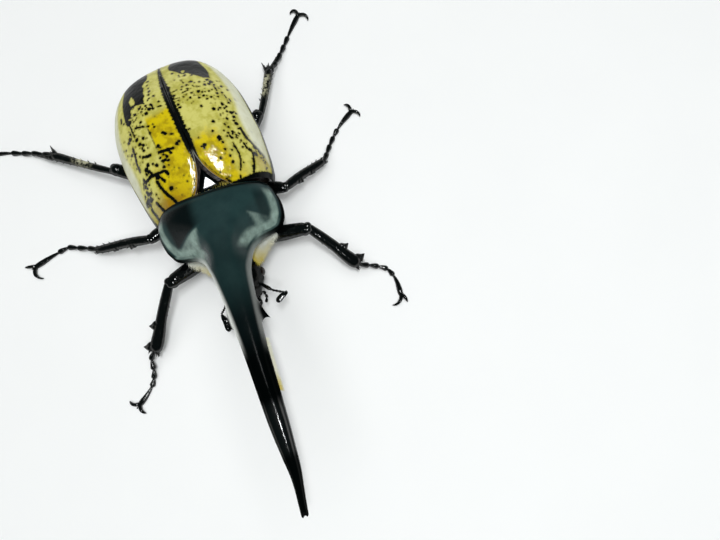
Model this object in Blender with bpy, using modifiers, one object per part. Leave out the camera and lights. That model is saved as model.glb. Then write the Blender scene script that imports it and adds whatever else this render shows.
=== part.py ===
"""Male hercules beetle at life size, standing on its six feet.

Sizes are in millimetres and the meshes are scaled to metres. Forward is -Y, the beetle's
left is +X and up is +Z. The hindbody lies along Y, with its top leaning a little to the
left. The prothorax is turned a little to the beetle's right, and the head a little more,
so each has a frame of its own.
"""

import math

import bmesh
import bpy
from mathutils import Matrix, Vector

MM = 0.001
GAP = 0.35
BLACK = (0.010, 0.014, 0.014)
YELLOW = (0.42, 0.38, 0.03)

# Hindbody, as (distance behind the pronotum, size) pairs
ELYTRA_LENGTH = 52.0
ELYTRA_HALF_WIDTH = (
    (0, 17.6), (3, 18.9), (10, 20.1), (20, 20.9), (28, 20.5), (38, 18.1), (44, 15.0), (49, 9.8), (52, 1.6),
)
ELYTRA_TOP = ((0, 25.4), (3, 27.2), (12, 29.0), (22, 29.2), (34, 26.6), (43, 21.4), (48.5, 15.6), (52, 9.6))
ELYTRA_MARGIN = ((0, 13.0), (10, 12.0), (30, 11.6), (45, 10.4), (52, 9.0))
BELLY = ((0, 7.0), (5, 4.6), (15, 4.2), (30, 4.4), (42, 5.2), (52, 7.4))
SECTION_POWER = 2.5
MARGIN_SHIFT, LEAN = -0.5, 1.4
ELYTRON_THICKNESS = 1.1
UNDER_ELYTRA = ELYTRON_THICKNESS + GAP + 0.45
HIND_THORAX_END = 18.0
ABDOMEN_END = 50.2
SCUTELLUM_LENGTH = 7.6
SCUTELLUM_HALF_WIDTH = 4.6
SCUTELLUM_LEVELS = (23.2, 25.4)

# Prothorax and its horn, as (distance forward of the rear margin, size) pairs
PROTHORAX_PIVOT = -0.8
PROTHORAX_YAW = math.radians(6.5)
REAR_MARGIN = -1.2
HORN_BASE = 24.0
HORN_TIP = 88.2
STATIONS = ((0, REAR_MARGIN), (0.03, -1.0), (0.06, -0.3), (0.45, HORN_BASE), (1, HORN_TIP))
HALF_WIDTH = (
    (-1.2, 16.0), (1, 17.2), (5, 18.0), (8, 17.6), (10, 16.6), (11.5, 15.6), (12.5, 14.0), (13.5, 11.4),
    (14.5, 9.4), (17, 7.2), (20, 6.0), (24, 4.9), (30, 4.2), (36, 3.7), (47, 3.05), (63, 2.6), (73, 1.9),
    (81, 1.0), (88, 0.82),
)
BACK = (
    (-1.2, 26.8), (2, 28.4), (8, 29.8), (15, 31.0), (24, 32.0), (36, 32.6), (48, 32.2), (60, 30.8),
    (70, 28.9), (80, 25.9), (88, 22.5),
)
SIDE_MARGIN = (
    (-1.2, 14.0), (5, 13.4), (10, 13.6), (12.5, 15.0), (14.5, 17.6), (17, 20.4), (24, 25.2), (40, 28.2),
    (60, 27.6), (80, 24.2), (88, 21.6),
)
UNDERSIDE = (
    (-1.2, 6.4), (1, 4.8), (5, 4.4), (9, 5.0), (10.5, 6.5), (12, 10.0), (13.5, 14.0), (16, 18.0),
    (20, 20.5), (24, 21.5), (36, 24.2), (48, 25.4), (60, 25.2), (70, 24.2), (80, 22.8), (88, 20.8),
)
HUMP = ((-1.2, 0.0), (3, 0.15), (11, 0.8), (16, 0.7), (26, 0.0), (88, 0.0))
HORN_BEND = ((-1.2, 0.0), (20, 0.0), (35, 0.3), (75, 0.1), (88, -1.5))
PROSTERNUM_TOP = 11.0
TIP_NOTCH = 0.5
TOOTH_ROOT, TOOTH_TIP, TOOTH_RADIUS = (3.2, 32.5, 26.6), (5.8, 37.5, 25.8), 1.7

# Head, as (distance forward of the neck, size) pairs
NECK = 13.0
HEAD_YAW = math.radians(1.5)
HEAD_LENGTH = 16.0
HEAD_HALF_WIDTH = ((0, 3.6), (3, 5.8), (7, 6.7), (10, 6.5), (13, 5.0), (16, 3.0))
HEAD_TOP = ((0, 10.6), (1.5, 12.0), (3, 13.8), (5, 15.8), (8, 17.0), (11, 16.2), (14, 13.2), (16, 11.4))
HEAD_SIDE = ((0, 9.4), (8, 11.4), (16, 10.4))
HEAD_UNDER = ((0, 8.4), (3, 7.0), (8, 6.4), (13, 7.4), (16, 9.2))
EYE_CENTRE = (5.8, 8.4, 11.6)
EYE_RADIUS = 1.6
HEAD_HORN_PATH = (
    (9.6, 17.2), (13.5, 17.4), (19, 17.2), (26, 17.8), (34, 19.4), (41, 21.6), (47, 23.9),
)
HEAD_HORN_RADII = (2.5, 2.3, 2.0, 1.8, 1.6, 1.3, 0.7)
HEAD_HORN_TEETH = (((28, 18.8), (29.4, 22.4), 1.2), ((40, 22.0), (38.6, 24.3), 0.8))
MANDIBLE = ((3.2, 15.4, 7.4), (3.1, 17.0, 7.6), (1.9, 18.4, 8.2))
MANDIBLE_RADII = (1.2, 1.1, 0.45)
OUTER_PALP = ((4.6, 13.2, 6.2), (5.0, 14.8, 5.9), (4.4, 16.6, 6.0))
INNER_PALP = ((4.4, 13.1, 6.1), (2.9, 14.4, 5.6), (2.3, 16.4, 5.9))
PALP_RADII = (0.5, 0.42, 0.38)
ANTENNAE = {
    "left": (
        (2.6, -26.2, 12.2), (2.8, -27.9, 12.6), (3.7, -29.0, 13.0), (4.9, -29.9, 13.0),
        (6.1, -30.8, 13.0), (7.2, -31.2, 13.0), (3.4, -32.6, 13.0),
    ),
    "right": (
        (-10.2, -24.8, 12.2), (-10.9, -26.2, 12.6), (-11.2, -27.0, 13.0), (-11.5, -27.7, 13.0),
        (-11.8, -28.4, 13.0), (-12.0, -29.0, 13.0), (-11.8, -32.2, 13.0),
    ),
}

# Legs: sizes of each pair, with its teeth as (share of the tibia, length) and its spurs as (lean, length)
LEG_SIZES = {
    "fore": {
        "coxa": (2.7, 3.4, 2.7), "femur": (2.1, 2.15, 1.75), "tibia": (1.2, 1.4, 1.9),
        "tooth_side": 1, "teeth": ((0.56, 3.0), (0.86, 3.4)), "spurs": ((-0.55, 3.2),),
    },
    "mid": {
        "coxa": (3.2, 2.6, 2.3), "femur": (1.7, 2.1, 1.45), "tibia": (1.05, 1.0, 1.1),
        "tooth_side": -1, "teeth": ((0.35, 2.0),), "spurs": ((1.6, 2.4), (-0.6, 3.0)),
    },
    "hind": {
        "coxa": (4.2, 2.9, 2.3), "femur": (1.9, 2.3, 1.45), "tibia": (0.95, 1.05, 1.25),
        "tooth_side": -1, "teeth": ((0.5, 2.2),), "spurs": ((0.9, 3.4), (-0.35, 4.2)),
    },
}
# Middle of the coxa, knee, ankle and the path of the tarsus
LEGS = {
    "fore_left": (
        (2.9, -10.1, 6.2), (20.7, -16.2, 11.6), (30.7, -31.4, 4.2),
        (31.9, -32.3, 3.2), (34.8, -33.8, 1.8), (37.9, -36.5, 0.6), (38.6, -40.2, 0.42),
        (37.8, -45.5, 0.42),
    ),
    "fore_right": (
        (-6.7, -9.0, 6.2), (-22.9, -13.6, 11.6), (-36.9, -28.6, 4.2),
        (-38.2, -29.8, 3.2), (-39.4, -33.2, 1.8), (-41.6, -36.6, 0.6), (-44.6, -38.9, 0.42),
        (-47.6, -40.6, 0.42),
    ),
    "mid_left": (
        (6.4, 6.2, 6.0), (20.0, -1.5, 10.5), (34.6, 3.4, 4.0),
        (36.0, 5.0, 3.2), (37.9, 7.6, 1.8), (42.3, 12.0, 0.6), (46.2, 14.7, 0.42), (50.8, 17.0, 0.42),
    ),
    "mid_right": (
        (-6.4, 6.2, 6.0), (-23.1, 1.9, 10.5), (-40.7, 8.2, 4.0),
        (-42.2, 9.6, 3.2), (-46.2, 12.2, 1.8), (-50.5, 14.4, 0.6), (-54.4, 14.1, 0.42), (-61.4, 13.0, 0.42),
    ),
    "hind_left": (
        (7.6, 14.2, 5.9), (22.4, 24.7, 9.8), (32.3, 40.8, 4.2),
        (34.0, 42.9, 3.2), (38.5, 47.4, 1.8), (43.0, 51.3, 0.6), (46.9, 54.4, 0.42), (49.9, 57.2, 0.42),
    ),
    "hind_right": (
        (-7.6, 14.2, 5.9), (-25.2, 27.5, 9.8), (-42.5, 43.6, 4.2),
        (-44.6, 45.4, 3.2), (-48.2, 48.0, 2.2), (-52.6, 50.8, 0.9), (-57.5, 53.4, 0.42),
        (-64.0, 55.4, 0.42),
    ),
}
TARSUS_JOINTS = (0.0, 0.17, 0.34, 0.49, 0.63, 1.0)
CLAW_LENGTH = 3.8
CLAW_SPREAD, CLAW_CURL = math.radians(28), math.radians(90)
CLAW_STEPS = 4


def profile(points):
    """A smooth curve through the points that doesn't overshoot them."""
    xs = [point[0] for point in points]
    ys = [point[1] for point in points]
    slopes = [(ys[i + 1] - ys[i]) / (xs[i + 1] - xs[i]) for i in range(len(xs) - 1)]
    tangents = [slopes[0]]
    for before, after in zip(slopes, slopes[1:]):
        tangents.append(2 * before * after / (before + after) if before * after > 0 else 0)
    tangents.append(slopes[-1])

    def value(x):
        x = min(max(x, xs[0]), xs[-1])
        i = max(k for k in range(len(xs) - 1) if xs[k] <= x)
        step = xs[i + 1] - xs[i]
        u = (x - xs[i]) / step
        start = (1 + 2 * u) * (1 - u) ** 2 * ys[i] + u * (1 - u) ** 2 * step * tangents[i]
        end = u * u * (3 - 2 * u) * ys[i + 1] + u * u * (u - 1) * step * tangents[i + 1]
        return start + end

    return value


def material(name, colour, roughness):
    made = bpy.data.materials.new(name)
    made.use_nodes = True
    shader = made.node_tree.nodes["Principled BSDF"]
    shader.inputs["Base Color"].default_value = (*colour, 1)
    shader.inputs["Roughness"].default_value = roughness
    shader.inputs["Metallic"].default_value = 0
    return made


def new_object(name, mesh, finish, parent=None):
    obj = bpy.data.objects.new(name, mesh)
    parts.objects.link(obj)
    mesh.materials.clear()
    mesh.materials.append(finish)
    obj.parent = parent or beetle
    return obj


def mesh_of(bm, name):
    """The bmesh as a mesh in metres, with its faces pointing out."""
    bmesh.ops.remove_doubles(bm, verts=bm.verts, dist=1e-4)
    bmesh.ops.recalc_face_normals(bm, faces=bm.faces)
    bmesh.ops.scale(bm, vec=(MM, MM, MM), verts=bm.verts)
    mesh = bpy.data.meshes.new(name)
    bm.to_mesh(mesh)
    bm.free()
    mesh.shade_smooth()
    mesh.set_sharp_from_angle(angle=math.radians(40))
    return mesh


def shaped_sphere(name, segments, rings, shape, parent=None):
    """A sphere whose vertices move to shape(t, angle, size), with t from 0 to 1 along the body."""
    bm = bmesh.new()
    bmesh.ops.create_uvsphere(bm, u_segments=segments, v_segments=rings, radius=1)
    for vert in bm.verts:
        t = math.acos(max(-1, min(1, vert.co.z))) / math.pi
        steps_from_pole = min(t, 1 - t) * rings
        size = 0
        if steps_from_pole > 0.5:
            size = min(1, math.sqrt(steps_from_pole * 0.86))
        vert.co = shape(t, math.atan2(vert.co.y, vert.co.x), size)
    return new_object(name, mesh_of(bm, name), black, parent)


def tube(points, radii, sides=8, parent=None, name="tube"):
    """A round limb along the points, with its own radius at each."""
    curve = bpy.data.curves.new(name, "CURVE")
    curve.dimensions = "3D"
    curve.bevel_depth = MM
    curve.bevel_resolution = (sides - 4) // 2
    curve.use_fill_caps = True
    spline = curve.splines.new("POLY")
    spline.points.add(len(points) - 1)
    for point, place, radius in zip(spline.points, points, radii):
        point.co = (*(Vector(place) * MM), 1)
        point.radius = radius
    guide = bpy.data.objects.new(name, curve)
    parts.objects.link(guide)
    bpy.context.view_layer.update()
    evaluated = guide.evaluated_get(bpy.context.evaluated_depsgraph_get())
    mesh = bpy.data.meshes.new_from_object(evaluated)
    bpy.data.objects.remove(guide)
    bm = bmesh.new()
    bm.from_mesh(mesh)
    bpy.data.meshes.remove(mesh)
    bmesh.ops.scale(bm, vec=(1 / MM, 1 / MM, 1 / MM), verts=bm.verts)
    return new_object(name, mesh_of(bm, name), black, parent)


def spike(base, tip, radius, sides=6, blunt=0.25, parent=None):
    """A pointed tooth or spur from base to tip."""
    base, tip = Vector(base), Vector(tip)
    bm = bmesh.new()
    bmesh.ops.create_cone(
        bm, segments=sides, radius1=radius, radius2=blunt, depth=(tip - base).length, cap_ends=True
    )
    turn = (tip - base).to_track_quat("Z", "Y").to_matrix().to_4x4()
    bmesh.ops.transform(bm, matrix=Matrix.Translation((base + tip) / 2) @ turn, verts=bm.verts)
    return new_object("spike", mesh_of(bm, "spike"), black, parent)


def ellipsoid(centre, sizes, segments=10, rings=6, parent=None, turn=None, name="ellipsoid"):
    bm = bmesh.new()
    bmesh.ops.create_uvsphere(bm, u_segments=segments, v_segments=rings, radius=1)
    place = Matrix.Translation(centre) @ (turn or Matrix()) @ Matrix.Diagonal((*sizes, 1))
    bmesh.ops.transform(bm, matrix=place, verts=bm.verts)
    return new_object(name, mesh_of(bm, name), black, parent)


def as_cutter(obj):
    parts.objects.unlink(obj)
    cutters.objects.link(obj)
    obj.hide_render = True
    obj.display_type = "WIRE"
    return obj


def cutting_box(name, low, high, parent=None):
    """A box between two corners."""
    low, high = Vector(low), Vector(high)
    bm = bmesh.new()
    bmesh.ops.create_cube(bm, size=1)
    place = Matrix.Translation((low + high) / 2) @ Matrix.Diagonal((*(high - low), 1))
    bmesh.ops.transform(bm, matrix=place, verts=bm.verts)
    return as_cutter(new_object(name, mesh_of(bm, name), black, parent))


def boolean(obj, operation, other):
    modifier = obj.modifiers.new(operation.lower(), "BOOLEAN")
    modifier.operation = operation
    modifier.solver = "EXACT"
    modifier.object = other


def united(name, pieces):
    """The pieces as one body, under the new name."""
    whole = pieces[0]
    for piece in pieces[1:]:
        boolean(whole, "UNION", piece)
    bpy.context.view_layer.update()
    evaluated = whole.evaluated_get(bpy.context.evaluated_depsgraph_get())
    mesh = bpy.data.meshes.new_from_object(evaluated)
    mesh.name = name
    whole.modifiers.clear()
    whole.data = mesh
    whole.name = name
    for piece in pieces[1:]:
        bpy.data.objects.remove(piece)
    return whole


def section(angle, half_width, top, side, bottom, size, hump=0.0):
    """A point of a cross-section: its offset to the left and its height."""
    power = 2 / SECTION_POWER
    across = math.copysign(abs(math.cos(angle)) ** power, math.cos(angle))
    up = math.copysign(abs(math.sin(angle)) ** power, math.sin(angle))
    ridge = (1 - across**2) * math.exp(-2.2 * across**2)
    if up > 0:
        height = side + (top - side) * ((1 - hump) * up + hump * ridge)
    else:
        height = side + (side - bottom) * up
    middle = (top + bottom) / 2
    return half_width * across * size, middle + (height - middle) * size


def elytron(name, side):
    """One wing case: an open sheet of the outer surface, thickened inwards."""
    half_width, top, margin = profile(ELYTRA_HALF_WIDTH), profile(ELYTRA_TOP), profile(ELYTRA_MARGIN)
    power = 2 / SECTION_POWER
    bm = bmesh.new()
    bmesh.ops.create_grid(bm, x_segments=7, y_segments=13, size=1)
    for vert in bm.verts:
        across_share, along_share = (vert.co.x + 1) / 2, (vert.co.y + 1) / 2
        y = ELYTRA_LENGTH * math.sin(along_share * math.pi / 2) ** 0.9
        width = half_width(y)
        beside_scutellum = max(0, 1 - y / (SCUTELLUM_LENGTH + 0.8))
        inner = GAP * 0.7 + (SCUTELLUM_HALF_WIDTH + 0.4) * beside_scutellum
        first = math.asin((inner / width) ** (1 / power))
        angle = first + (math.pi / 2 - first) * across_share
        height = max(0, math.cos(angle)) ** power
        across = MARGIN_SHIFT + side * width * math.sin(angle) ** power + LEAN * height
        vert.co = (across, y, margin(y) + (top(y) - margin(y)) * height)
    bmesh.ops.recalc_face_normals(bm, faces=bm.faces)
    if sum(face.normal.z * face.calc_area() for face in bm.faces) < 0:
        bmesh.ops.reverse_faces(bm, faces=bm.faces)
    bmesh.ops.scale(bm, vec=(MM, MM, MM), verts=bm.verts)
    mesh = bpy.data.meshes.new(name)
    bm.to_mesh(mesh)
    bm.free()
    mesh.shade_smooth()
    obj = new_object(name, mesh, yellow)
    wall = obj.modifiers.new("wall", "SOLIDIFY")
    wall.thickness = ELYTRON_THICKNESS * MM
    wall.offset = -1
    boolean(obj, "DIFFERENCE", ahead_of_hindbody)


def hindbody():
    """The body under the elytra: the hind part of the thorax and the abdomen, parted by a thin cut."""
    half_width, top, margin = profile(ELYTRA_HALF_WIDTH), profile(ELYTRA_TOP), profile(ELYTRA_MARGIN)
    belly = profile(BELLY)

    def shape(t, angle, size):
        y = ABDOMEN_END * t
        half = max(half_width(y + 1.6) - UNDER_ELYTRA, 2)
        roof = top(y + 1.2) - UNDER_ELYTRA
        side = margin(y) - 0.4
        across, height = section(angle, half, roof, side, belly(y), size)
        lean = LEAN * max(0, height - side) / (roof - side)
        return Vector((MARGIN_SHIFT + across + lean, y, height))

    far = 60
    behind = cutting_box("behind_thorax", (-far, HIND_THORAX_END - GAP / 2, -far), (far, far + 40, far))
    before = cutting_box("before_abdomen", (-far, -far, -far), (far, HIND_THORAX_END + GAP / 2, far))
    made = []
    for name, cutter in (("hind_thorax", behind), ("abdomen", before)):
        piece = shaped_sphere(name, 16, 20, shape)
        boolean(piece, "DIFFERENCE", cutter)
        made.append(piece)
    boolean(made[0], "DIFFERENCE", ahead_of_hindbody)
    boolean(made[0], "DIFFERENCE", scutellum("scutellum_room", GAP, as_room=True))
    return made


def scutellum(name, grow, as_room=False):
    """The small shield between the wing cases, as a three-sided plate, or the room that it needs."""
    bottom, rim = SCUTELLUM_LEVELS
    half = SCUTELLUM_HALF_WIDTH + 1.2 * grow
    tip = SCUTELLUM_LENGTH + 1.6 * grow
    middle = MARGIN_SHIFT + LEAN
    corners = ((middle - half, -1.0, 0.0), (middle + half, -1.0, 0.0), (middle, tip, 1.4))
    levels = (bottom - grow, rim + (8 if as_room else 0))
    bm = bmesh.new()
    rings = [[bm.verts.new((x, y, level + rise)) for x, y, rise in corners] for level in levels]
    for ring in rings:
        bm.faces.new(ring)
    for i in range(3):
        j = (i + 1) % 3
        bm.faces.new((rings[0][i], rings[0][j], rings[1][j], rings[1][i]))
    plate = new_object(name, mesh_of(bm, name), black)
    if as_room:
        return as_cutter(plate)
    boolean(plate, "DIFFERENCE", ahead_of_hindbody)
    return plate


def prothorax():
    """Pronotum, prosternum and the long horn, modelled whole and parted by thin cuts."""
    station, bend = profile(STATIONS), profile(HORN_BEND)
    half_width, back, margin = profile(HALF_WIDTH), profile(BACK), profile(SIDE_MARGIN)
    underside, hump = profile(UNDERSIDE), profile(HUMP)

    def shape(t, angle, size):
        f = station(t)
        across, height = section(
            angle, half_width(f), back(f), margin(f), underside(f), size, hump(f)
        )
        return Vector((across + bend(f), -f, height))

    far = 100
    half = GAP / 2
    rooms = {
        "ahead": ((-far, -far, -far), (far, -HORN_BASE + half, far)),
        "behind": ((-far, -HORN_BASE - half, -far), (far, far, far)),
        "below": ((-far, -far, -far), (far, far, PROSTERNUM_TOP + half)),
        "above": ((-far, -far, PROSTERNUM_TOP - half), (far, far, far)),
    }
    for name, corners in rooms.items():
        rooms[name] = cutting_box(name, *corners, prothorax_frame)
    cuts = {"pronotum": ("ahead", "below"), "prosternum": ("ahead", "above"), "thoracic_horn": ("behind",)}
    made = {}
    for name, sides in cuts.items():
        made[name] = shaped_sphere(name, 16, 38, shape, prothorax_frame)
        for side in sides:
            boolean(made[name], "DIFFERENCE", rooms[side])
    tip = Vector((bend(HORN_TIP), -HORN_TIP - 0.1, back(HORN_TIP)))
    up = Vector((0, 0, 6))
    notch = spike(tip - up, tip + up, TIP_NOTCH, 8, TIP_NOTCH, prothorax_frame)
    boolean(made["thoracic_horn"], "DIFFERENCE", as_cutter(notch))
    for side in (-1, 1):
        root = (side * TOOTH_ROOT[0], -TOOTH_ROOT[1], TOOTH_ROOT[2])
        point = (side * TOOTH_TIP[0], -TOOTH_TIP[1], TOOTH_TIP[2])
        tooth = spike(root, point, TOOTH_RADIUS, 8, 0.25, prothorax_frame)
        boolean(made["thoracic_horn"], "UNION", as_cutter(tooth))
    return made


def head_capsule():
    half_width, top = profile(HEAD_HALF_WIDTH), profile(HEAD_TOP)
    side_level, under = profile(HEAD_SIDE), profile(HEAD_UNDER)

    def shape(t, angle, size):
        f = HEAD_LENGTH * t
        across, height = section(angle, half_width(f), top(f), side_level(f), under(f), size)
        return Vector((across, -f, height))

    return shaped_sphere("head", 14, 13, shape, head_frame)


def head_horn(capsule):
    """The horn of the head, with its two teeth, bedded in the capsule."""
    path = [(0, -f, z) for f, z in HEAD_HORN_PATH]
    pieces = [tube(path, HEAD_HORN_RADII, 8, head_frame)]
    for (root_f, root_z), (tip_f, tip_z), radius in HEAD_HORN_TEETH:
        pieces.append(spike((0, -root_f, root_z), (0, -tip_f, tip_z), radius, parent=head_frame))
    united("cephalic_horn", pieces)
    bed = tube(path[:3], [radius + GAP for radius in HEAD_HORN_RADII[:3]], 8, head_frame)
    boolean(capsule, "DIFFERENCE", as_cutter(bed))


def eye(name, side, capsule):
    """An eye in its socket."""
    centre = Vector((side * EYE_CENTRE[0], -EYE_CENTRE[1], EYE_CENTRE[2]))
    ball = ellipsoid(centre, (EYE_RADIUS,) * 3, 8, 6, head_frame, name=name)
    ball.data.materials[0] = eye_black
    socket = ellipsoid(centre, (EYE_RADIUS + GAP,) * 3, 8, 6, head_frame)
    boolean(capsule, "DIFFERENCE", as_cutter(socket))


def mouthparts(name, side):
    """A mandible and the two feelers beside it."""
    def mirrored(path):
        return [(side * x, -f, z) for x, f, z in path]

    tube(mirrored(MANDIBLE), MANDIBLE_RADII, 8, head_frame, f"mandible_{name}")
    palps = [tube(mirrored(path), PALP_RADII, 6, head_frame) for path in (OUTER_PALP, INNER_PALP)]
    united(f"palps_{name}", palps)


def antenna(name, path):
    """Scape, beaded funicle and the folded club, which runs to the last point of the path."""
    *stalk_path, club_tip = [Vector(point) for point in path]
    stalk = tube(stalk_path, (0.45, 0.6, 0.34, 0.42, 0.34, 0.40), 6)
    start = stalk_path[-1]
    turn = (club_tip - start).to_track_quat("Z", "Y").to_matrix().to_4x4()
    half_length = (club_tip - start).length / 2 + 0.3
    club = ellipsoid((start + club_tip) / 2, (0.62, 0.8, half_length), 8, 6, turn=turn)
    united(name, [stalk, club])


def along(points, shares):
    """The points at these shares of the way along a smooth path."""
    points = [Vector(point) for point in points]
    reach = [0.0]
    for start, end in zip(points, points[1:]):
        reach.append(reach[-1] + (end - start).length)
    curves = [profile([(s / reach[-1], point[i]) for s, point in zip(reach, points)]) for i in range(3)]
    return [Vector([curve(share) for curve in curves]) for share in shares]


def tarsus(name, path):
    """Five beaded segments and a pair of hooked claws, cut flat where they meet the floor."""
    shares, radii = [], []
    for start, end in zip(TARSUS_JOINTS, TARSUS_JOINTS[1:]):
        for share, radius in ((0.05, 0.36), (0.85, 0.60)):
            shares.append(start + (end - start) * share)
            radii.append(radius)
    centres = along(path, shares)
    pieces = [tube(centres, radii, 6)]
    ahead = centres[-1] - centres[-2]
    ahead.z = 0
    ahead.normalize()
    for side in (-1, 1):
        sideways = ahead.cross(Vector((0, 0, -side)))
        place = centres[-1] - ahead * 0.7 + sideways * 0.25
        claw_path = [place.copy()]
        for step in range(CLAW_STEPS):
            turn = Matrix.Rotation(side * (CLAW_SPREAD + CLAW_CURL * step / CLAW_STEPS), 3, "Z")
            place = place + turn @ ahead * (CLAW_LENGTH / CLAW_STEPS)
            rise = 0.6 * math.sin(math.pi * (step + 1) / CLAW_STEPS)
            claw_path.append(Vector((place.x, place.y, 0.5 + rise)))
        claw_radii = [0.44 - 0.14 * i / CLAW_STEPS for i in range(CLAW_STEPS + 1)]
        pieces.append(tube(claw_path, claw_radii, 6))
    boolean(united(name, pieces), "DIFFERENCE", floor_cut)


def tibia(name, sizes, knee, ankle):
    """The shin, with its outer teeth and the spurs at its end."""
    down = (ankle - knee).normalized()
    outward = math.copysign(1, knee.x) * Vector((0, 0, 1)).cross(down).normalized()
    first, middle, last = sizes["tibia"]
    start = knee + down * (sizes["femur"][2] * 0.6 + GAP)
    run = ankle - start
    shares = (0.0, 0.08, 0.3, 0.6, 0.88, 1.0)
    radii = (first * 0.7, first, first, middle, last, last * 0.75)
    pieces = [tube([start + run * share for share in shares], radii)]
    toothward = outward * sizes["tooth_side"] + down * 0.35
    for share, length in sizes["teeth"]:
        root = start + run * share
        pieces.append(spike(root, root + toothward * length, 0.8))
    for lean, length in sizes["spurs"]:
        root = ankle - down
        pieces.append(spike(root, root + (down + outward * lean).normalized() * length, 0.6))
    united(f"tibia_{name}", pieces)


def leg(name, coxa, knee, ankle, *foot):
    """Coxa in its room in the body, femur, tibia and tarsus, each clear of the next."""
    kind = name.split("_")[0]
    sizes = LEG_SIZES[kind]
    coxa, knee, ankle = Vector(coxa), Vector(knee), Vector(ankle)
    out = (knee - coxa).normalized()
    lay = Matrix.Rotation(math.atan2(out.y, out.x), 4, "Z")
    ellipsoid(coxa, sizes["coxa"], turn=lay, name=f"coxa_{name}")
    start = coxa + out * (sizes["coxa"][0] + GAP + 0.2)
    run = knee - start
    first, middle, last = sizes["femur"]
    shares = (0.0, 0.12, 0.45, 0.8, 0.94, 1.0)
    radii = (first * 0.6, first, middle, (middle + last) / 2, last, last * 0.6)
    tube([start + run * share for share in shares], radii, name=f"femur_{name}")
    pocket = ellipsoid(coxa, [size + GAP for size in sizes["coxa"]], turn=lay)
    widest = max(first, middle) + GAP
    groove = tube([start + run * share for share in (-0.2, 0.0, 0.45, 0.95)], [widest] * 4)
    room = as_cutter(united(f"room_{name}", [pocket, groove]))
    for body in LEG_BODIES[kind]:
        boolean(body, "DIFFERENCE", room)
    tibia(name, sizes, knee, ankle)
    tarsus(f"tarsus_{name}", foot)


def centre_on_origin():
    """Moves the beetle so that the origin is below the middle of its box, on the floor."""
    bpy.context.view_layer.update()
    graph = bpy.context.evaluated_depsgraph_get()
    corners = []
    for obj in parts.objects:
        if obj.type == "MESH":
            evaluated = obj.evaluated_get(graph)
            corners += [evaluated.matrix_world @ vert.co for vert in evaluated.data.vertices]
    for axis in (0, 1):
        places = [corner[axis] for corner in corners]
        beetle.location[axis] = -(min(places) + max(places)) / 2


for leftover in list(bpy.data.objects):
    bpy.data.objects.remove(leftover, do_unlink=True)

parts = bpy.data.collections.new("hercules_beetle")
cutters = bpy.data.collections.new("cutters")
bpy.context.scene.collection.children.link(parts)
bpy.context.scene.collection.children.link(cutters)

black = material("black_cuticle", BLACK, 0.28)
eye_black = material("eye", BLACK, 0.1)
yellow = material("yellow_elytra", YELLOW, 0.25)

beetle = bpy.data.objects.new("beetle", None)
prothorax_frame = bpy.data.objects.new("prothorax_frame", None)
head_frame = bpy.data.objects.new("head_frame", None)
for empty in (beetle, prothorax_frame, head_frame):
    parts.objects.link(empty)
prothorax_frame.parent = beetle
prothorax_frame.location.x = PROTHORAX_PIVOT * MM
prothorax_frame.rotation_euler.z = -PROTHORAX_YAW
head_frame.parent = prothorax_frame
head_frame.location.y = -NECK * MM
head_frame.rotation_euler.z = -HEAD_YAW

floor_cut = cutting_box("floor_cut", (-150, -150, -10), (150, 150, 0))
ahead_of_hindbody = cutting_box(
    "ahead_of_hindbody", (-60, -60, -20), (60, -REAR_MARGIN + GAP, 60), prothorax_frame
)
hind_thorax, abdomen = hindbody()
elytron("elytron_left", 1)
elytron("elytron_right", -1)
scutellum("scutellum", 0.0)
fronts = prothorax()
capsule = head_capsule()
head_horn(capsule)
for side_name, side_sign in (("left", 1), ("right", -1)):
    eye(f"eye_{side_name}", side_sign, capsule)
    mouthparts(side_name, side_sign)
    antenna(f"antenna_{side_name}", ANTENNAE[side_name])
LEG_BODIES = {
    "fore": (fronts["prosternum"], fronts["pronotum"]),
    "mid": (hind_thorax, fronts["prosternum"]),
    "hind": (hind_thorax, abdomen),
}
for leg_name, places in LEGS.items():
    leg(leg_name, *places)
centre_on_origin()
print("moved by", [round(value / MM, 3) for value in beetle.location])
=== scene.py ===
# %% [markdown]
# # A hercules beetle at life size
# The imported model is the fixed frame: it says where each piece goes and how big it is. This
# lesson covers it with finer pieces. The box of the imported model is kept, so that the finished
# model can be compared with it at the end.

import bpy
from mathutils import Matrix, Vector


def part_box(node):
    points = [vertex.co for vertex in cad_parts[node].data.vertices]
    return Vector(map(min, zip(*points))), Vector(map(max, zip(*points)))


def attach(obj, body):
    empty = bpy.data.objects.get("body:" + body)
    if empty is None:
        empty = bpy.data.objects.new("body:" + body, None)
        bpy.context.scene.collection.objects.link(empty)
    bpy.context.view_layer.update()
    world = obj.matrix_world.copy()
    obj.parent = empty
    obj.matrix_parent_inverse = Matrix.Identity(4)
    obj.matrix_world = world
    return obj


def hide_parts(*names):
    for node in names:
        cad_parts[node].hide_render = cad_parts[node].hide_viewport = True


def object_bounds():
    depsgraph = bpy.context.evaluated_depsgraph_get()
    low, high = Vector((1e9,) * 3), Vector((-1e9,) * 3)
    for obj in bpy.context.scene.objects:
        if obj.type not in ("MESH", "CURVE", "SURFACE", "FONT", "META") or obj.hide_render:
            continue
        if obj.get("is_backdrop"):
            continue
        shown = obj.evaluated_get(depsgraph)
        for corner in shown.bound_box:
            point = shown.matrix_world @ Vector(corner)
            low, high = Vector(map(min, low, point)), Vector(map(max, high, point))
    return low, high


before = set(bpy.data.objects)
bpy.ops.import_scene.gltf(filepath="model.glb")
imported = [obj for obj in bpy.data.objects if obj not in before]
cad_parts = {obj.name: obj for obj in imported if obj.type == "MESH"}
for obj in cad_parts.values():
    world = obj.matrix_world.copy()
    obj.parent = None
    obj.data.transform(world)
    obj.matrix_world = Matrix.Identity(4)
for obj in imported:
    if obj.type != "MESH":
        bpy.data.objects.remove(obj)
cad_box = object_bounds()
print("nodes in the frame:", len(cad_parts))

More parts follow.
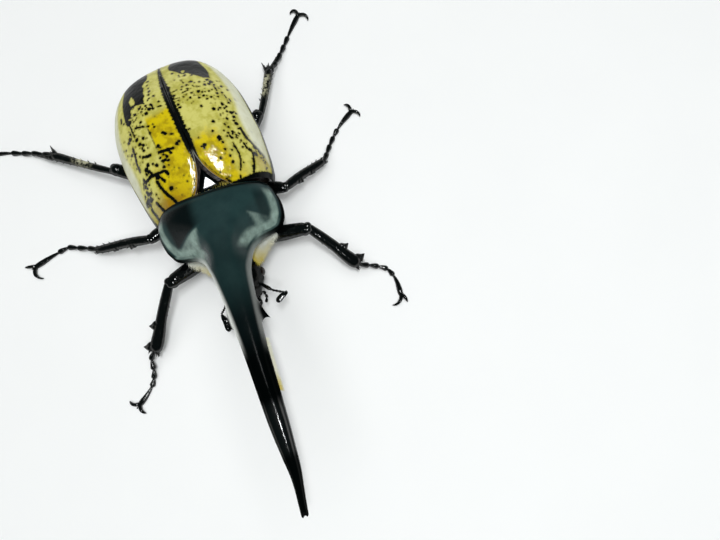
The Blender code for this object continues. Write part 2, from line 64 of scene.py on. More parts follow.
# %% [markdown]
# ## Millimetres and the beetle's own frames
# An insect is easiest to describe in millimetres, with its head towards -Y, its left side at +X
# and the floor at zero. A matrix turns those numbers into the frame's metres. The front of the
# body is turned a little to the beetle's right and the head a little more, as in a live beetle
# that is walking, so each has a matrix of its own. The middle coxae are mirror images of each
# other, so their boxes say where the body stands in the frame.

# %% Frames of the hindbody, prothorax and head
import math

import bmesh
import bpy
import numpy as np
from mathutils import Matrix, Vector

MM = 0.001
MID_COXAE = Vector((0.0, 6.2, 6.0))
PROTHORAX_SHIFT, PROTHORAX_TURN = (-0.8, 0, 0), math.radians(-6.5)
NECK, HEAD_TURN = (0, -13, 0), math.radians(-1.5)

coxa_corners = [corner for side in ("left", "right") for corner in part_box(f"coxa_mid_{side}")]
shift = sum(coxa_corners, Vector()) / len(coxa_corners) - MID_COXAE * MM
BODY = Matrix.Translation(shift) @ Matrix.Scale(MM, 4)
PROTHORAX = BODY @ Matrix.Translation(PROTHORAX_SHIFT) @ Matrix.Rotation(PROTHORAX_TURN, 4, "Z")
HEAD = PROTHORAX @ Matrix.Translation(NECK) @ Matrix.Rotation(HEAD_TURN, 4, "Z")
print("the body stands at", [round(value / MM, 2) for value in shift], "mm")

# %% [markdown]
# ## Profiles
# A beetle's shell is smooth but has no simple formula. Its width, height and margins can each be
# read off as a short row of sizes along the body. A monotone curve through them gives a smooth
# outline that doesn't wobble between the sizes, as a plain spline would. Smaller features, such
# as beads, bumps and the borders of colours, are steps that rise or fall smoothly, and hills.

# %% Curves, steps and hills
def profile(points):
    """A curve through (place, size) pairs that never swings past them."""
    xs, ys = np.array(points, float).T
    slopes = np.diff(ys) / np.diff(xs)
    product = slopes[1:] * slopes[:-1]
    total = np.where(product > 0, slopes[1:] + slopes[:-1], 1)
    inner = np.where(product > 0, 2 * product / total, 0)
    tangents = np.concatenate((slopes[:1], inner, slopes[-1:]))

    def value(x):
        """The size at a place, which is held at both ends."""
        x = np.clip(x, xs[0], xs[-1])
        i = np.clip(np.searchsorted(xs, x, side="right") - 1, 0, len(xs) - 2)
        step = xs[i + 1] - xs[i]
        u = (x - xs[i]) / step
        start = (1 + 2 * u) * (1 - u) ** 2 * ys[i] + u * (1 - u) ** 2 * step * tangents[i]
        end = u * u * (3 - 2 * u) * ys[i + 1] + u * u * (u - 1) * step * tangents[i + 1]
        return start + end

    return value


def rise(low, high, x):
    """Goes smoothly from 0 at low to 1 at high."""
    u = np.clip((np.asarray(x, float) - low) / (high - low), 0, 1)
    return u * u * (3 - 2 * u)


def fall(low, high, x):
    """Goes smoothly from 1 at low to 0 at high."""
    return 1 - rise(low, high, x)


def hill(x, centre, width):
    """A smooth bump that is 1 at the centre."""
    return np.exp(-(((x - centre) / width) ** 2))


def highest(*fields):
    """The highest of several fields at each point."""
    return np.maximum.reduce(np.broadcast_arrays(*fields))


def rounded_end(gap, radius, least):
    """How full a tube is at a gap from its end, when the end is rounded over the radius."""
    return np.sqrt(np.clip(1 - (1 - np.clip(gap / radius, 0, 1)) ** 2, least, 1))


def full_turn(count):
    """Angles once round a circle."""
    return np.linspace(0, 2 * math.pi, count, endpoint=False)


print("a rise from 0 to 4, at 1, 2 and 3:", rise(0, 4, (1, 2, 3)))

# %% [markdown]
# ## From rings to a closed skin
# Most parts of an insect are tubes of changing section. Rings of points, one after another, make
# such a tube, and a fan of triangles closes each end. The points are plain arrays until the mesh
# is made, so bumps, grooves and teeth are added to them by formula.

# %% Skins from rings
SQUARENESS = 2 / 2.5


def grid(rows, columns):
    """The numbers of a grid's points, and its quads."""
    ids = np.arange(rows * columns).reshape(rows, columns)
    return ids, np.stack([ids[:-1, :-1], ids[:-1, 1:], ids[1:, 1:], ids[1:, :-1]], -1).reshape(-1, 4)


def loft(rings):
    """Points and faces of a tube through rings of points, closed at both ends."""
    count, around = rings.shape[:2]
    ids = np.arange(count * around).reshape(count, around)
    after = np.roll(ids, -1, axis=1)
    quads = np.stack([ids[:-1], after[:-1], after[1:], ids[1:]], -1).reshape(-1, 4)
    points = np.vstack([rings.reshape(-1, 3), rings[0].mean(0), rings[-1].mean(0)])
    first, last = count * around, count * around + 1
    fans = [(b, a, first) for a, b in zip(ids[0], after[0])]
    fans += [(a, b, last) for a, b in zip(ids[-1], after[-1])]
    return points, quads.tolist() + [tuple(map(int, fan)) for fan in fans]


def section(angle, half_width, top, side, bottom, size=1.0, hump=0.0, dome=10.0):
    """Offset to the left and height of a rounded cross-section with a margin at the side level."""
    across = np.sign(np.cos(angle)) * np.abs(np.cos(angle)) ** SQUARENESS
    up = np.sign(np.sin(angle)) * np.abs(np.sin(angle)) ** SQUARENESS
    ridge = (1 - np.abs(across) ** 3) * np.exp(-np.abs(across * half_width / dome) ** 3)
    above = side + (top - side) * ((1 - hump) * up + hump * ridge)
    height = np.where(up > 0, above, side + (side - bottom) * up)
    middle = (top + bottom) / 2
    return half_width * across * size, middle + (height - middle) * size


def placed(points, place):
    """Points in a frame of the beetle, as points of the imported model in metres."""
    turn = np.array(place)
    return points @ turn[:3, :3].T + turn[:3, 3]


def set_marks(mesh, marks):
    """Writes numbers to the mesh's points, for the finish to read."""
    for key, values in marks.items():
        values = np.ascontiguousarray(values, np.float32).ravel()
        mesh.attributes.new(key, "FLOAT", "POINT").data.foreach_set("value", values)


def piece(name, mesh, finish, slot, *nodes):
    """Shows a mesh as a piece of the beetle that stands for the named CAD nodes."""
    obj = bpy.data.objects.new(name, mesh)
    bpy.context.scene.collection.objects.link(obj)
    mesh.materials.clear()
    mesh.materials.append(finish)
    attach(obj, "root")
    if nodes:
        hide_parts(*nodes)
    print(f"{name}: {sum(len(face.vertices) - 2 for face in mesh.polygons)} triangles")


def built(name, shape, place, finish, marks=None, nodes=None, slot="black_cuticle"):
    """Shows points and faces as a closed piece, which stands for its namesake if no nodes are given."""
    points, faces = shape
    mesh = bpy.data.meshes.new(name)
    mesh.from_pydata(placed(points, place).tolist(), [], faces)
    set_marks(mesh, marks or {})
    bm = bmesh.new()
    bm.from_mesh(mesh)
    bmesh.ops.remove_doubles(bm, verts=bm.verts, dist=1e-7)
    bmesh.ops.recalc_face_normals(bm, faces=bm.faces)
    bm.to_mesh(mesh)
    bm.free()
    mesh.shade_smooth()
    piece(name, mesh, finish, slot, *(nodes or [name]))


print("widest half of a section 10 wide:", section(full_turn(8), 10, 6, 2, 0)[0].max())

# %% [markdown]
# ## Limbs
# Legs, horns, feelers and claws are round-ended tubes that follow a path. The section is carried
# along the path without twisting. A limb may be flatter than it is wide, as a digging shin is.
# Its teeth and joints are separate tubes at first. A voxel remesh then fuses them into one skin
# and a little smoothing rounds the places where they meet, which is how cuticle grows.

# %% Tubes along a path, and fused bodies
UP = (0, 0, 1)


def unit(vectors):
    """Vectors of length one, along the last axis."""
    return vectors / (np.linalg.norm(vectors, axis=-1, keepdims=True) + 1e-12)


def centre_line(path):
    """A smooth line through the points, by the share of its length, and the length."""
    path = np.array(path, float)
    reach = np.concatenate(([0], np.cumsum(np.linalg.norm(np.diff(path, axis=0), axis=1))))
    curves = [profile(list(zip(reach / reach[-1], path[:, i]))) for i in range(3)]
    return lambda shares: np.stack([curve(shares) for curve in curves], 1), reach[-1]


def limb(path, sizes, around=20, steps=48, flat=1.0):
    """A round-ended tube along the path, with (share, radius) sizes. flat squeezes its height."""
    line, length = centre_line(path)
    shares = (1 - np.cos(np.linspace(0, math.pi, steps))) / 2
    centres = line(shares)
    tangents = unit(np.gradient(centres, axis=0))
    radii = profile(sizes)(shares)
    for gap in (shares * length, (1 - shares) * length):
        inside = np.clip(1 - gap / np.maximum(radii, 1e-6), 0, 1)
        radii = radii * np.sqrt(1 - inside**2)
    side = unit(np.cross(tangents, UP))
    over = np.cross(side, tangents)
    turns = full_turn(around)[None, :, None]
    ring = side[:, None] * np.cos(turns) + over[:, None] * np.sin(turns) * flat
    return loft(centres[:, None] + ring * radii[:, None, None])


def ball(centre, sizes, turn=None, around=32, rings=22):
    """A rounded lump with its own three half sizes."""
    tilt = np.linspace(0, math.pi, rings)[1:-1, None]
    angle = full_turn(around)[None]
    sphere = [np.sin(tilt) * np.cos(angle), np.sin(tilt) * np.sin(angle), np.cos(tilt) + 0 * angle]
    points = np.stack(sphere, -1) * np.array(sizes, float)
    if turn is not None:
        points = points @ np.array(turn).T
    return loft(points + np.array(centre, float))


def joined(shells):
    """Several shells as one set of points and faces."""
    points, faces, start = [], [], 0
    for some, around in shells:
        points.append(some)
        faces += [tuple(index + start for index in face) for face in around]
        start += len(some)
    return np.vstack(points), faces


def fused(shells, voxel, rounds=4):
    """The shells melted into one skin by a voxel remesh, in millimetres."""
    mesh = bpy.data.meshes.new("fused")
    points, faces = joined(shells)
    mesh.from_pydata(points.tolist(), [], faces)
    obj = bpy.data.objects.new("fused", mesh)
    bpy.context.scene.collection.objects.link(obj)
    melt = obj.modifiers.new("melt", "REMESH")
    melt.mode, melt.voxel_size, melt.adaptivity = "VOXEL", voxel, 0
    soften = obj.modifiers.new("soften", "SMOOTH")
    soften.factor, soften.iterations = 0.5, rounds
    melted = bpy.data.meshes.new_from_object(obj.evaluated_get(bpy.context.evaluated_depsgraph_get()))
    co = np.empty(len(melted.vertices) * 3)
    melted.vertices.foreach_get("co", co)
    faces = [tuple(face.vertices) for face in melted.polygons]
    bpy.data.objects.remove(obj)
    bpy.data.meshes.remove(mesh)
    bpy.data.meshes.remove(melted)
    return co.reshape(-1, 3), faces


print("points of a ball:", len(ball((0, 0, 0), (1, 1, 1))[0]))

# %% [markdown]
# ## Nodes and colours
# Each finish is a small node tree. One function adds a node with its settings, and one fills its
# inputs with numbers, sockets or whole nodes, which give their first output. Colours are given as
# the sRGB hex values that a picture editor shows, and one function turns them into the linear
# light that the shader works in. A shell seen sidelong mirrors the bright walls, which hides its
# own colour, so the finishes weaken their mirror there.

# %% Helpers for materials
def fill(node, inputs):
    """Gives a node's inputs their numbers and links."""
    for key, value in inputs.items():
        if isinstance(value, bpy.types.Node):
            value = next(socket for socket in value.outputs if socket.enabled)
        if isinstance(value, bpy.types.NodeSocket):
            node.id_data.links.new(value, node.inputs[key])
        else:
            node.inputs[key].default_value = value


def add_node(tree, kind, inputs=None, **settings):
    """Adds a node with its settings, and fills its inputs."""
    node = tree.nodes.new(kind)
    for key, value in settings.items():
        setattr(node, key, value)
    fill(node, inputs or {})
    return node


def linear(hex_colour):
    """An sRGB hex colour in linear light."""
    values = [int(hex_colour[i:i + 2], 16) / 255 for i in (1, 3, 5)]
    return (*[v / 12.92 if v <= 0.04045 else ((v + 0.055) / 1.055) ** 2.4 for v in values], 1)


def painted(tree, colour, layers):
    """A colour with (factor, hex colour) layers over it, as a painter lays glazes."""
    for factor, hex_colour in layers:
        colour = add_node(tree, "ShaderNodeMix", {
            "Factor": factor, 6: colour, 7: linear(hex_colour),
        }, data_type="RGBA")
    return colour


def mirror_left(tree, low, high, sidelong):
    """One where the skin faces the eye, down to the given share where it is seen sidelong."""
    facing = add_node(tree, "ShaderNodeLayerWeight", {"Blend": 0.5}).outputs["Facing"]
    return add_node(tree, "ShaderNodeMapRange", {
        "Value": facing, "From Min": low, "From Max": high, "To Min": 1.0, "To Max": sidelong,
    }, interpolation_type="SMOOTHSTEP")


def relief_of(tree, *heights):
    """Bumps on bumps, each a (height, depth in millimetres) pair."""
    relief = None
    for height, depth in heights:
        below = {"Normal": relief} if relief else {}
        relief = add_node(tree, "ShaderNodeBump", {
            "Height": height, "Strength": 1.0, "Distance": depth * MM, **below,
        })
    return relief


def new_finish(name, ior, roughness, *marks):
    """A material's tree, shader, place on the piece, and the marks that it reads from the mesh."""
    finish = bpy.data.materials.new(name)
    finish.use_nodes = True
    tree = finish.node_tree
    shader = tree.nodes["Principled BSDF"]
    fill(shader, {"IOR": ior, "Roughness": roughness})
    place = add_node(tree, "ShaderNodeTexCoord").outputs["Object"]
    read = [add_node(tree, "ShaderNodeAttribute", attribute_name=mark).outputs["Fac"] for mark in marks]
    print("finish:", name)
    return finish, tree, shader, place, *read


def per_metre(millimetres):
    """Texture scale for a pattern that repeats every so many millimetres."""
    return 1 / (millimetres * MM)


print("mid grey in linear light:", round(linear("#808080")[0], 3))

# %% [markdown]
# ## Black cuticle of the legs and underside
# Beetle cuticle is chitin hardened with dark protein, secreted in thin layers. Its outer wax
# layer is very smooth, so the eye sees deep black with small bright lights. Chitin has an IOR
# of 1.56. The wax is a clear coat here. Gentle waves and scattered pits, the sockets of worn-off
# hairs, break its lights up, and finer wrinkles lie in the black below. On the hind shins a
# mark called velvet says where a nap of short golden-grey hair covers the black.

# %% Polished leg chitin
CHITIN_IOR = 1.56
NAP_COLOUR = "#aaa88e"


def leg_chitin(name, base, wear_and_reflection, roughness, mirror, coat):
    """A black finish with a worn tint, a weak mirror and a wax coat, dulled by velvet."""
    finish, tree, shader, place, velvet = new_finish(name, CHITIN_IOR, roughness, "velvet")
    tone, wrinkles, waves = [
        add_node(tree, "ShaderNodeTexNoise", {
            "Vector": place, "Scale": per_metre(size), "Detail": detail, "Roughness": rough,
        })
        for size, detail, rough in ((2.2, 3.0, 0.5), (1.1, 4.0, 0.55), (1.4, 2.5, 0.5))
    ]
    pits = add_node(tree, "ShaderNodeTexVoronoi", {"Vector": place, "Scale": per_metre(0.7)})
    pits = add_node(tree, "ShaderNodeMapRange", {
        "Value": pits, "From Min": 0.08, "From Max": 0.3,
    }, interpolation_type="SMOOTHSTEP")
    gloss = add_node(tree, "ShaderNodeMapRange", {
        "Value": tone, "From Min": 0.3, "From Max": 0.7,
        "To Min": roughness - 0.03, "To Max": roughness + 0.06,
    })
    nap = add_node(tree, "ShaderNodeMapRange", {
        "Value": wrinkles, "From Min": 0.4, "From Max": 0.58,
    }, interpolation_type="SMOOTHSTEP")
    nap = add_node(tree, "ShaderNodeMath", {0: nap, 1: velvet}, operation="MULTIPLY")
    wax = add_node(tree, "ShaderNodeMapRange", {"Value": nap, "To Min": coat, "To Max": 0.0})
    wax = add_node(tree, "ShaderNodeMath", {
        0: wax, 1: mirror_left(tree, 0.3, 0.65, 0.06),
    }, operation="MULTIPLY")
    fill(shader, {
        "Base Color": painted(tree, linear(base), ((tone, wear_and_reflection), (nap, NAP_COLOUR))),
        "Roughness": gloss, "Specular IOR Level": mirror,
        "Normal": relief_of(tree, (wrinkles, 0.16), (pits, 0.03)),
        "Coat Weight": wax, "Coat Roughness": 0.05, "Coat IOR": 1.6,
        "Coat Normal": relief_of(tree, (waves, 0.15), (pits, 0.02)),
        "Sheen Weight": 0.02, "Sheen Roughness": 0.5, "Sheen Tint": linear("#9fc4c2"),
    })
    return finish


black_chitin = leg_chitin("polished_black_chitin", "#020303", "#060808", 0.2, 0.02, 1.0)
head_chitin = leg_chitin("punctured_head_chitin", "#010202", "#040505", 0.3, 0.02, 0.3)
brown_chitin = leg_chitin("brown_black_belly_chitin", "#0c0705", "#20130b", 0.27, 0.08, 0.06)

# %% [markdown]
# ## Satin shield
# The pronotum and its horn have the same chitin, but the shield is micro-grained, so it shows
# a satin blue-green sheen, while the horn and the rims are polished by wear. The steep flanks
# carry a painted pale grey-green reflection, streaked by noise. Marks on the mesh say where:
# polish, 1 on the horn and rims, shade for painted shade on the darker sides and a darker tone
# towards the horn, a mark for the painted reflection on the flanks, edge for a painted reflection
# as a pale line along the horn's rim, and dull where the black has lost its mirror.

# %% Satin shield chitin
shield_chitin, tree, shader, place, polish, shade, painted_reflection, edge, dull = new_finish(
    "satin_shield_chitin", CHITIN_IOR, 0.3, "polish", "shade", "painted_reflection", "edge", "dull",
)
cloud, reflection_noise, grain, dents = [
    add_node(tree, "ShaderNodeTexNoise", {
        "Vector": place, "Scale": per_metre(size), "Detail": detail, "Roughness": rough,
    })
    for size, detail, rough in ((5.0, 4.0, 0.5), (2.6, 6.0, 0.6), (0.3, 3.0, 0.5), (3.5, 2.0, 0.5))
]
# A painted pale grey-green reflection on the flanks, streaked by noise.
painted_pale_reflection = add_node(tree, "ShaderNodeMapRange", {
    "Value": reflection_noise, "From Min": 0.34, "From Max": 0.66, "To Min": 0.5, "To Max": 1.1,
})
painted_pale_reflection = add_node(tree, "ShaderNodeMath", {0: painted_pale_reflection, 1: painted_reflection}, operation="MULTIPLY")
gloss = add_node(tree, "ShaderNodeMapRange", {"Value": polish, "To Min": 0.26, "To Max": 0.14})
mirror = add_node(tree, "ShaderNodeMapRange", {"Value": polish, "To Min": 0.22, "To Max": 1.0})
mirror = add_node(tree, "ShaderNodeMix", {"Factor": dull, 2: mirror, 3: 0.015})
left_over = add_node(tree, "ShaderNodeMix", {
    "Factor": polish, 2: 1.0, 3: mirror_left(tree, 0.16, 0.5, 0.02),
})
mirror = add_node(tree, "ShaderNodeMath", {0: mirror, 1: left_over}, operation="MULTIPLY")
# The base colour carries painted shade, a painted reflection on the flanks and a painted reflection along the
# horn's rim.
fill(shader, {
    "Base Color": painted(tree, linear("#14272a"), (
        (cloud, "#2a4241"), (shade, "#070d0e"), (polish, "#020404"), (painted_pale_reflection, "#93aaa0"), (edge, "#eef1ec"),
    )),
    "Roughness": gloss, "Specular IOR Level": mirror,
    "Normal": relief_of(tree, (dents, 0.12), (grain, 0.008)),
})

# %% [markdown]
# ## The shield and the long horn
# The pronotum of a male runs out forward into a long horn in one piece, with no seam. Its sides
# fall steeply in front, where the shield narrows into the horn. One tube with changing section
# makes both. Its rings are close together so that the two teeth of the horn can be drawn
# out of the skin, as they grow on the beetle.

# %% Sizes of the shield and horn, forward from the rear margin
SHIELD_HALF_WIDTH = profile((
    (-1.2, 16.0), (1, 17.2), (5, 18.0), (8, 17.6), (10, 16.6), (11.5, 15.6), (12.5, 14.0), (13.5, 11.4),
    (14.5, 9.4), (17, 7.2), (20, 6.0), (24, 4.9), (30, 4.2), (36, 3.7), (47, 3.05), (63, 2.6), (73, 1.9),
    (81, 1.2), (88, 0.95),
))
SHIELD_BACK = profile((
    (-1.2, 26.8), (2, 28.4), (8, 29.8), (15, 31.0), (24, 32.0), (36, 32.6), (48, 32.2), (60, 30.8),
    (70, 28.9), (80, 25.9), (88, 22.5),
))
SHIELD_MARGIN = profile((
    (-1.2, 14.0), (5, 13.4), (10, 13.6), (12.5, 15.0), (14.5, 17.6), (17, 20.4), (24, 25.2), (40, 28.2),
    (60, 27.6), (80, 24.2), (88, 21.6),
))
SHIELD_UNDERSIDE = profile((
    (-1.2, 6.4), (1, 4.8), (5, 4.4), (9, 5.0), (10.5, 6.5), (12, 10.0), (13.5, 14.0), (16, 18.0),
    (20, 20.5), (24, 21.5), (36, 24.2), (48, 25.4), (60, 25.2), (70, 24.2), (80, 22.8), (88, 20.8),
))
SHIELD_HUMP = profile((
    (-1.2, 0.0), (3, 0.1), (9, 0.7), (13, 0.82), (17, 0.7), (21, 0.3), (26, 0.0), (88, 0.0),
))
DOME_WIDTH = profile((
    (-1.2, 17.0), (5, 15.0), (9, 12.6), (12, 10.6), (16, 8.3), (20, 6.8), (26, 5.6), (88, 5.0),
))
# Inner borders of the painted reflection crescents on the flanks, on each side.
REFLECTION_LEFT = profile((
    (7, 8.3), (8.4, 8.8), (10, 9.2), (11.7, 8.9), (13.6, 7.7), (15.4, 6.7), (17.4, 5.9), (20, 5.2), (24, 4.4),
    (88, 4.0),
))
REFLECTION_RIGHT = profile((
    (8, 4.2), (11, 4.7), (13, 4.8), (15, 4.7), (17.4, 4.3), (20, 3.8), (24, 3.4), (88, 3.2),
))
HORN_BEND = profile(((-1.2, 0.0), (20, 0.0), (35, 0.3), (75, 0.1), (88, -1.5)))
REAR_MARGIN, HORN_TIP = -1.2, 88.2
HORN_TOOTH_ROOT, HORN_TOOTH_TIP, HORN_TOOTH_BASE = (3.4, -34.6, 26.9), (6.1, -38.0, 25.8), 3.6
print("the shield is", 2 * SHIELD_HALF_WIDTH(5), "mm wide and the horn's back is at", SHIELD_BACK(36), "mm")

# %% Rings of the shield and horn
FINE_RINGS, COARSE_RINGS, TIP_LENGTH = (-0.9, 41, 0.22), (41, 87.4, 0.42), 0.8
rear = np.linspace(0, 1, 14) ** 0.7
bulk = np.concatenate((np.arange(*FINE_RINGS), np.arange(*COARSE_RINGS)))
front = np.linspace(0, 1, 12)[1:]
stations = np.concatenate((REAR_MARGIN + 0.3 * rear**3, bulk, COARSE_RINGS[1] + TIP_LENGTH * front))
sizes = np.concatenate((np.sin(rear * math.pi / 2), np.ones(len(bulk)), np.sqrt(1 - front**2)))
stations, sizes = stations[1:-1, None], sizes[1:-1, None]
across, height = section(
    full_turn(168)[None], SHIELD_HALF_WIDTH(stations), SHIELD_BACK(stations), SHIELD_MARGIN(stations),
    SHIELD_UNDERSIDE(stations), sizes, SHIELD_HUMP(stations), DOME_WIDTH(stations),
)
level = (height - SHIELD_MARGIN(stations)) / (SHIELD_BACK(stations) - SHIELD_MARGIN(stations))
from_rim = np.full(across.shape, 99.0)
for rim_station in np.arange(REAR_MARGIN, HORN_TIP, 0.25):
    aside = SHIELD_HALF_WIDTH(rim_station) - np.abs(across)
    from_rim = np.minimum(from_rim, np.hypot(aside, rim_station - stations))
on_shield = fall(12, 17, stations)
bead = fall(0.45, 0.85, from_rim) * on_shield * (level > -0.2)
rear_bead = hill(stations, -0.3, 0.5) * (level > 0)
across = across * (1 + 0.012 * bead)
height = height + 0.3 * hill(from_rim, 0.3, 0.35) * on_shield * rise(0, 0.1, level)
height = height + 0.18 * rear_bead * rise(0.0, 0.2, level)
print("rings of the shield and horn:", len(stations))

# %% Where the shield and horn carry painted reflections, painted shade and a darker tone, and where they are polished or dull
left, away = across > 0, np.abs(across)
# Painted reflection: pale crescents on the flanks and a mottled strip near the rim.
beyond = away - np.where(left, REFLECTION_LEFT(stations), REFLECTION_RIGHT(stations))
start = np.where(left, 7.3 + 0.22 * (away - 8.5), 8.4 + 0.16 * (away - 4.3))
left_fade = 0.62 - 0.12 * rise(13, 17, stations)
left_fade = left_fade * (1 - 0.75 * rise(1.6, 3.2, beyond) * fall(12, 14.5, stations))
right_fade = 0.55 + 0.45 * np.exp(-np.maximum(beyond - 2, 0) / 2.5)
crescent = rise(0, np.where(left, 0.9, 1.5) + 1.6 * rise(11, 16, stations), beyond)
crescent = crescent * rise(start - 0.1, start + 0.7, stations) * fall(18, 23, stations)
near_rim = rise(0.9, 1.3, from_rim) * fall(2.2, 3.4, from_rim) * rise(1, 3, stations) * fall(15, 18, stations)
painted_reflection_field = np.maximum(crescent * np.where(left, left_fade, right_fade), np.where(left, 0.8, 0.92) * near_rim)
# A painted reflection: a pale line along the horn's rim.
painted_edge_reflection = fall(0.2, np.where(left, 0.9, 1.6), from_rim) * np.where(left, 0.2, 1.0)
painted_edge_reflection = painted_edge_reflection * rise(13, 18, stations) * fall(38, 47, stations) * (level > -0.4)
# Painted shade on the darker sides of the shield, where the glossy black mirrors darkness.
painted_shade_left = rise(11.2, 12.4, away) * fall(14, 15, away) * rise(1, 4, stations) * fall(9, 11, stations)
painted_shade_right = rise(2.5, 6.5, away) * rise(-0.5, 1.5, stations) * fall(start - 0.8, start + 0.2, stations)
painted_shade_right = painted_shade_right * (1 - rise(12.5, 14.5, away) * rise(1, 4, stations))
marks = {
    "painted_reflection": painted_reflection_field * (level > 0) * (1 - bead),
    "edge": painted_edge_reflection,
    # shade: the painted shade on the sides, and a darker tone towards the horn.
    "shade": highest(
        np.where(left, 0.45 * painted_shade_left, 0.95 * painted_shade_right),
        0.35 * rise(9, 18, stations) + 0.6 * rise(24, 38, stations),
    ),
    "polish": highest(rise(38, 48, stations), bead, rear_bead),
    "dull": highest(
        bead, rise(13, 22, stations) * fall(57, 61, stations), 0.9 * rise(70, 73, stations),
        0.8 * rise(3, 6, away) * fall(17, 22, stations),
        fall(1.5, 3.0, from_rim) * fall(1, 3, stations) * (level > 0),
    ),
}
print("mean of each mark:", {key: round(float(np.mean(values)), 2) for key, values in marks.items()})

# %% The fork and the teeth of the horn, and the finished skin
fork = rise(HORN_TIP - 1.8, HORN_TIP, stations) * np.clip(1 - away / 0.55, 0, 1)
rings = np.stack([across + HORN_BEND(stations), fork - stations, height], -1)
fin = np.zeros(across.shape)
for side in (-1, 1):
    root, tip = [
        np.array(place) * (side, 1, 1) + (HORN_BEND(station), 0, 0)
        for place, station in ((HORN_TOOTH_ROOT, 34.4), (HORN_TOOTH_TIP, 37.6))
    ]
    pull = np.clip(1 - np.linalg.norm(rings - root, axis=-1) / HORN_TOOTH_BASE, 0, 1)
    rings = rings + (tip - rings) * pull[..., None]
    fin = np.maximum(fin, rise(0.02, 0.3, pull))
marks["edge"] = marks["edge"] * (1 - fin)
for key in ("polish", "dull"):
    marks[key] = np.maximum(marks[key], fin)
marks = {key: np.append(np.clip(values, 0, None), (0, 0)) for key, values in marks.items()}
marks.update({key: np.minimum(marks[key], 1) for key in ("polish", "shade")})
built(
    "pronotum_and_horn", loft(rings), PROTHORAX, shield_chitin, marks,
    nodes=("pronotum", "prosternum", "thoracic_horn"),
)

# %% [markdown]
# ## Markings of the wing cases
# The wing cases are hard shells with a yellow, spongy layer under a clear skin, and with black
# spots that no two beetles share. The pattern is kept as a number at each point of the mesh: how
# many millimetres it lies inside a mark, or outside it as a minus. The shader cuts that number at
# zero and adds a fine noise, so that the spots have the crisp ragged edges of real ones. Spots,
# streaks and patches that stand out are placed one by one, and the rest are scattered at random.

# %% Distances to spots, streaks and patches
def spots(a, y, marks):
    """Depth inside the nearest of the round spots (a, y, radius)."""
    depth = np.full(a.shape, -9.0)
    for spot_a, spot_y, radius in marks:
        depth = np.maximum(depth, radius - np.hypot(a - spot_a, y - spot_y))
    return depth


def streaks(a, y, paths):
    """Depth inside the nearest streak: a half width, then the points along it."""
    depth = np.full(a.shape, -9.0)
    for half, *path in paths:
        for (a0, y0), (a1, y1) in zip(path, path[1:]):
            run = np.array((a1 - a0, y1 - y0))
            share = np.clip(((a - a0) * run[0] + (y - y0) * run[1]) / (run @ run), 0, 1)
            depth = np.maximum(depth, half - np.hypot(a - a0 - share * run[0], y - y0 - share * run[1]))
    return depth


def patch(a, y, corners):
    """Depth inside a patch with these corners."""
    gap = -streaks(a, y, [(0.0, *corners, corners[0])])
    inside = np.zeros(a.shape, bool)
    for (a0, y0), (a1, y1) in zip(corners, corners[1:] + corners[:1]):
        crosses = (y0 > y) != (y1 > y)
        inside ^= crosses & (a < a0 + (y - y0) * (a1 - a0) / (y1 - y0 + 1e-9))
    return np.where(inside, gap, -gap)


print("depth in the middle of a spot:", spots(np.zeros(1), np.zeros(1), [(0, 0, 0.5)]))

# %% Marks of the right wing case, as (millimetres from the seam, millimetres behind the front)
RIGHT_SPOTS = (
    (9.5, 5.9, 0.65), (4.8, 7.2, 0.2), (4.7, 5.6, 0.25), (14.0, 6.8, 0.3), (13.8, 5.5, 0.22),
    (11.5, 10.3, 0.75), (8.6, 9.6, 0.5), (8.7, 11.7, 0.45), (7.3, 11.5, 0.22), (10.3, 13.1, 0.52),
    (11.1, 14.0, 0.33), (13.2, 13.0, 0.6), (13.5, 13.8, 0.65), (12.5, 14.6, 0.52), (12.6, 12.2, 0.4),
    (14.0, 12.8, 0.4), (8.3, 13.2, 0.48), (7.5, 13.1, 0.4), (6.8, 12.7, 0.45), (6.8, 13.8, 0.48),
    (8.6, 14.3, 0.33), (7.4, 14.6, 0.35), (5.4, 14.2, 0.45), (2.9, 15.7, 0.52), (2.1, 16.0, 0.42),
    (7.7, 17.4, 0.48), (7.4, 16.7, 0.28), (13.6, 18.0, 0.3), (11.9, 18.6, 0.38), (12.0, 19.4, 0.33),
    (11.4, 20.0, 0.45), (12.2, 20.8, 0.48), (10.6, 21.8, 0.48), (8.3, 21.9, 0.38), (6.6, 22.9, 0.3),
    (6.6, 23.8, 0.24), (8.1, 24.0, 0.38), (12.5, 22.5, 0.5), (14.2, 24.0, 0.6), (15.0, 23.5, 0.45),
    (13.6, 25.2, 0.42), (12.8, 24.5, 0.3), (16.7, 22.6, 0.3), (9.5, 26.4, 0.42), (11.3, 28.0, 0.35),
    (10.3, 29.8, 0.48), (7.2, 28.0, 0.55), (5.9, 28.9, 0.58), (5.2, 30.3, 0.42), (2.8, 29.9, 0.33),
    (6.6, 30.7, 0.35), (8.3, 29.4, 0.3), (8.5, 31.0, 0.48), (7.8, 30.3, 0.3), (3.6, 32.8, 0.38),
    (4.8, 34.2, 0.38), (4.4, 35.4, 0.42), (4.3, 36.9, 0.3), (5.0, 32.7, 0.25), (4.4, 38.6, 0.3),
    (4.0, 40.5, 0.4), (12.8, 28.6, 0.85), (14.4, 30.0, 0.33), (15.6, 20.0, 0.4),
)
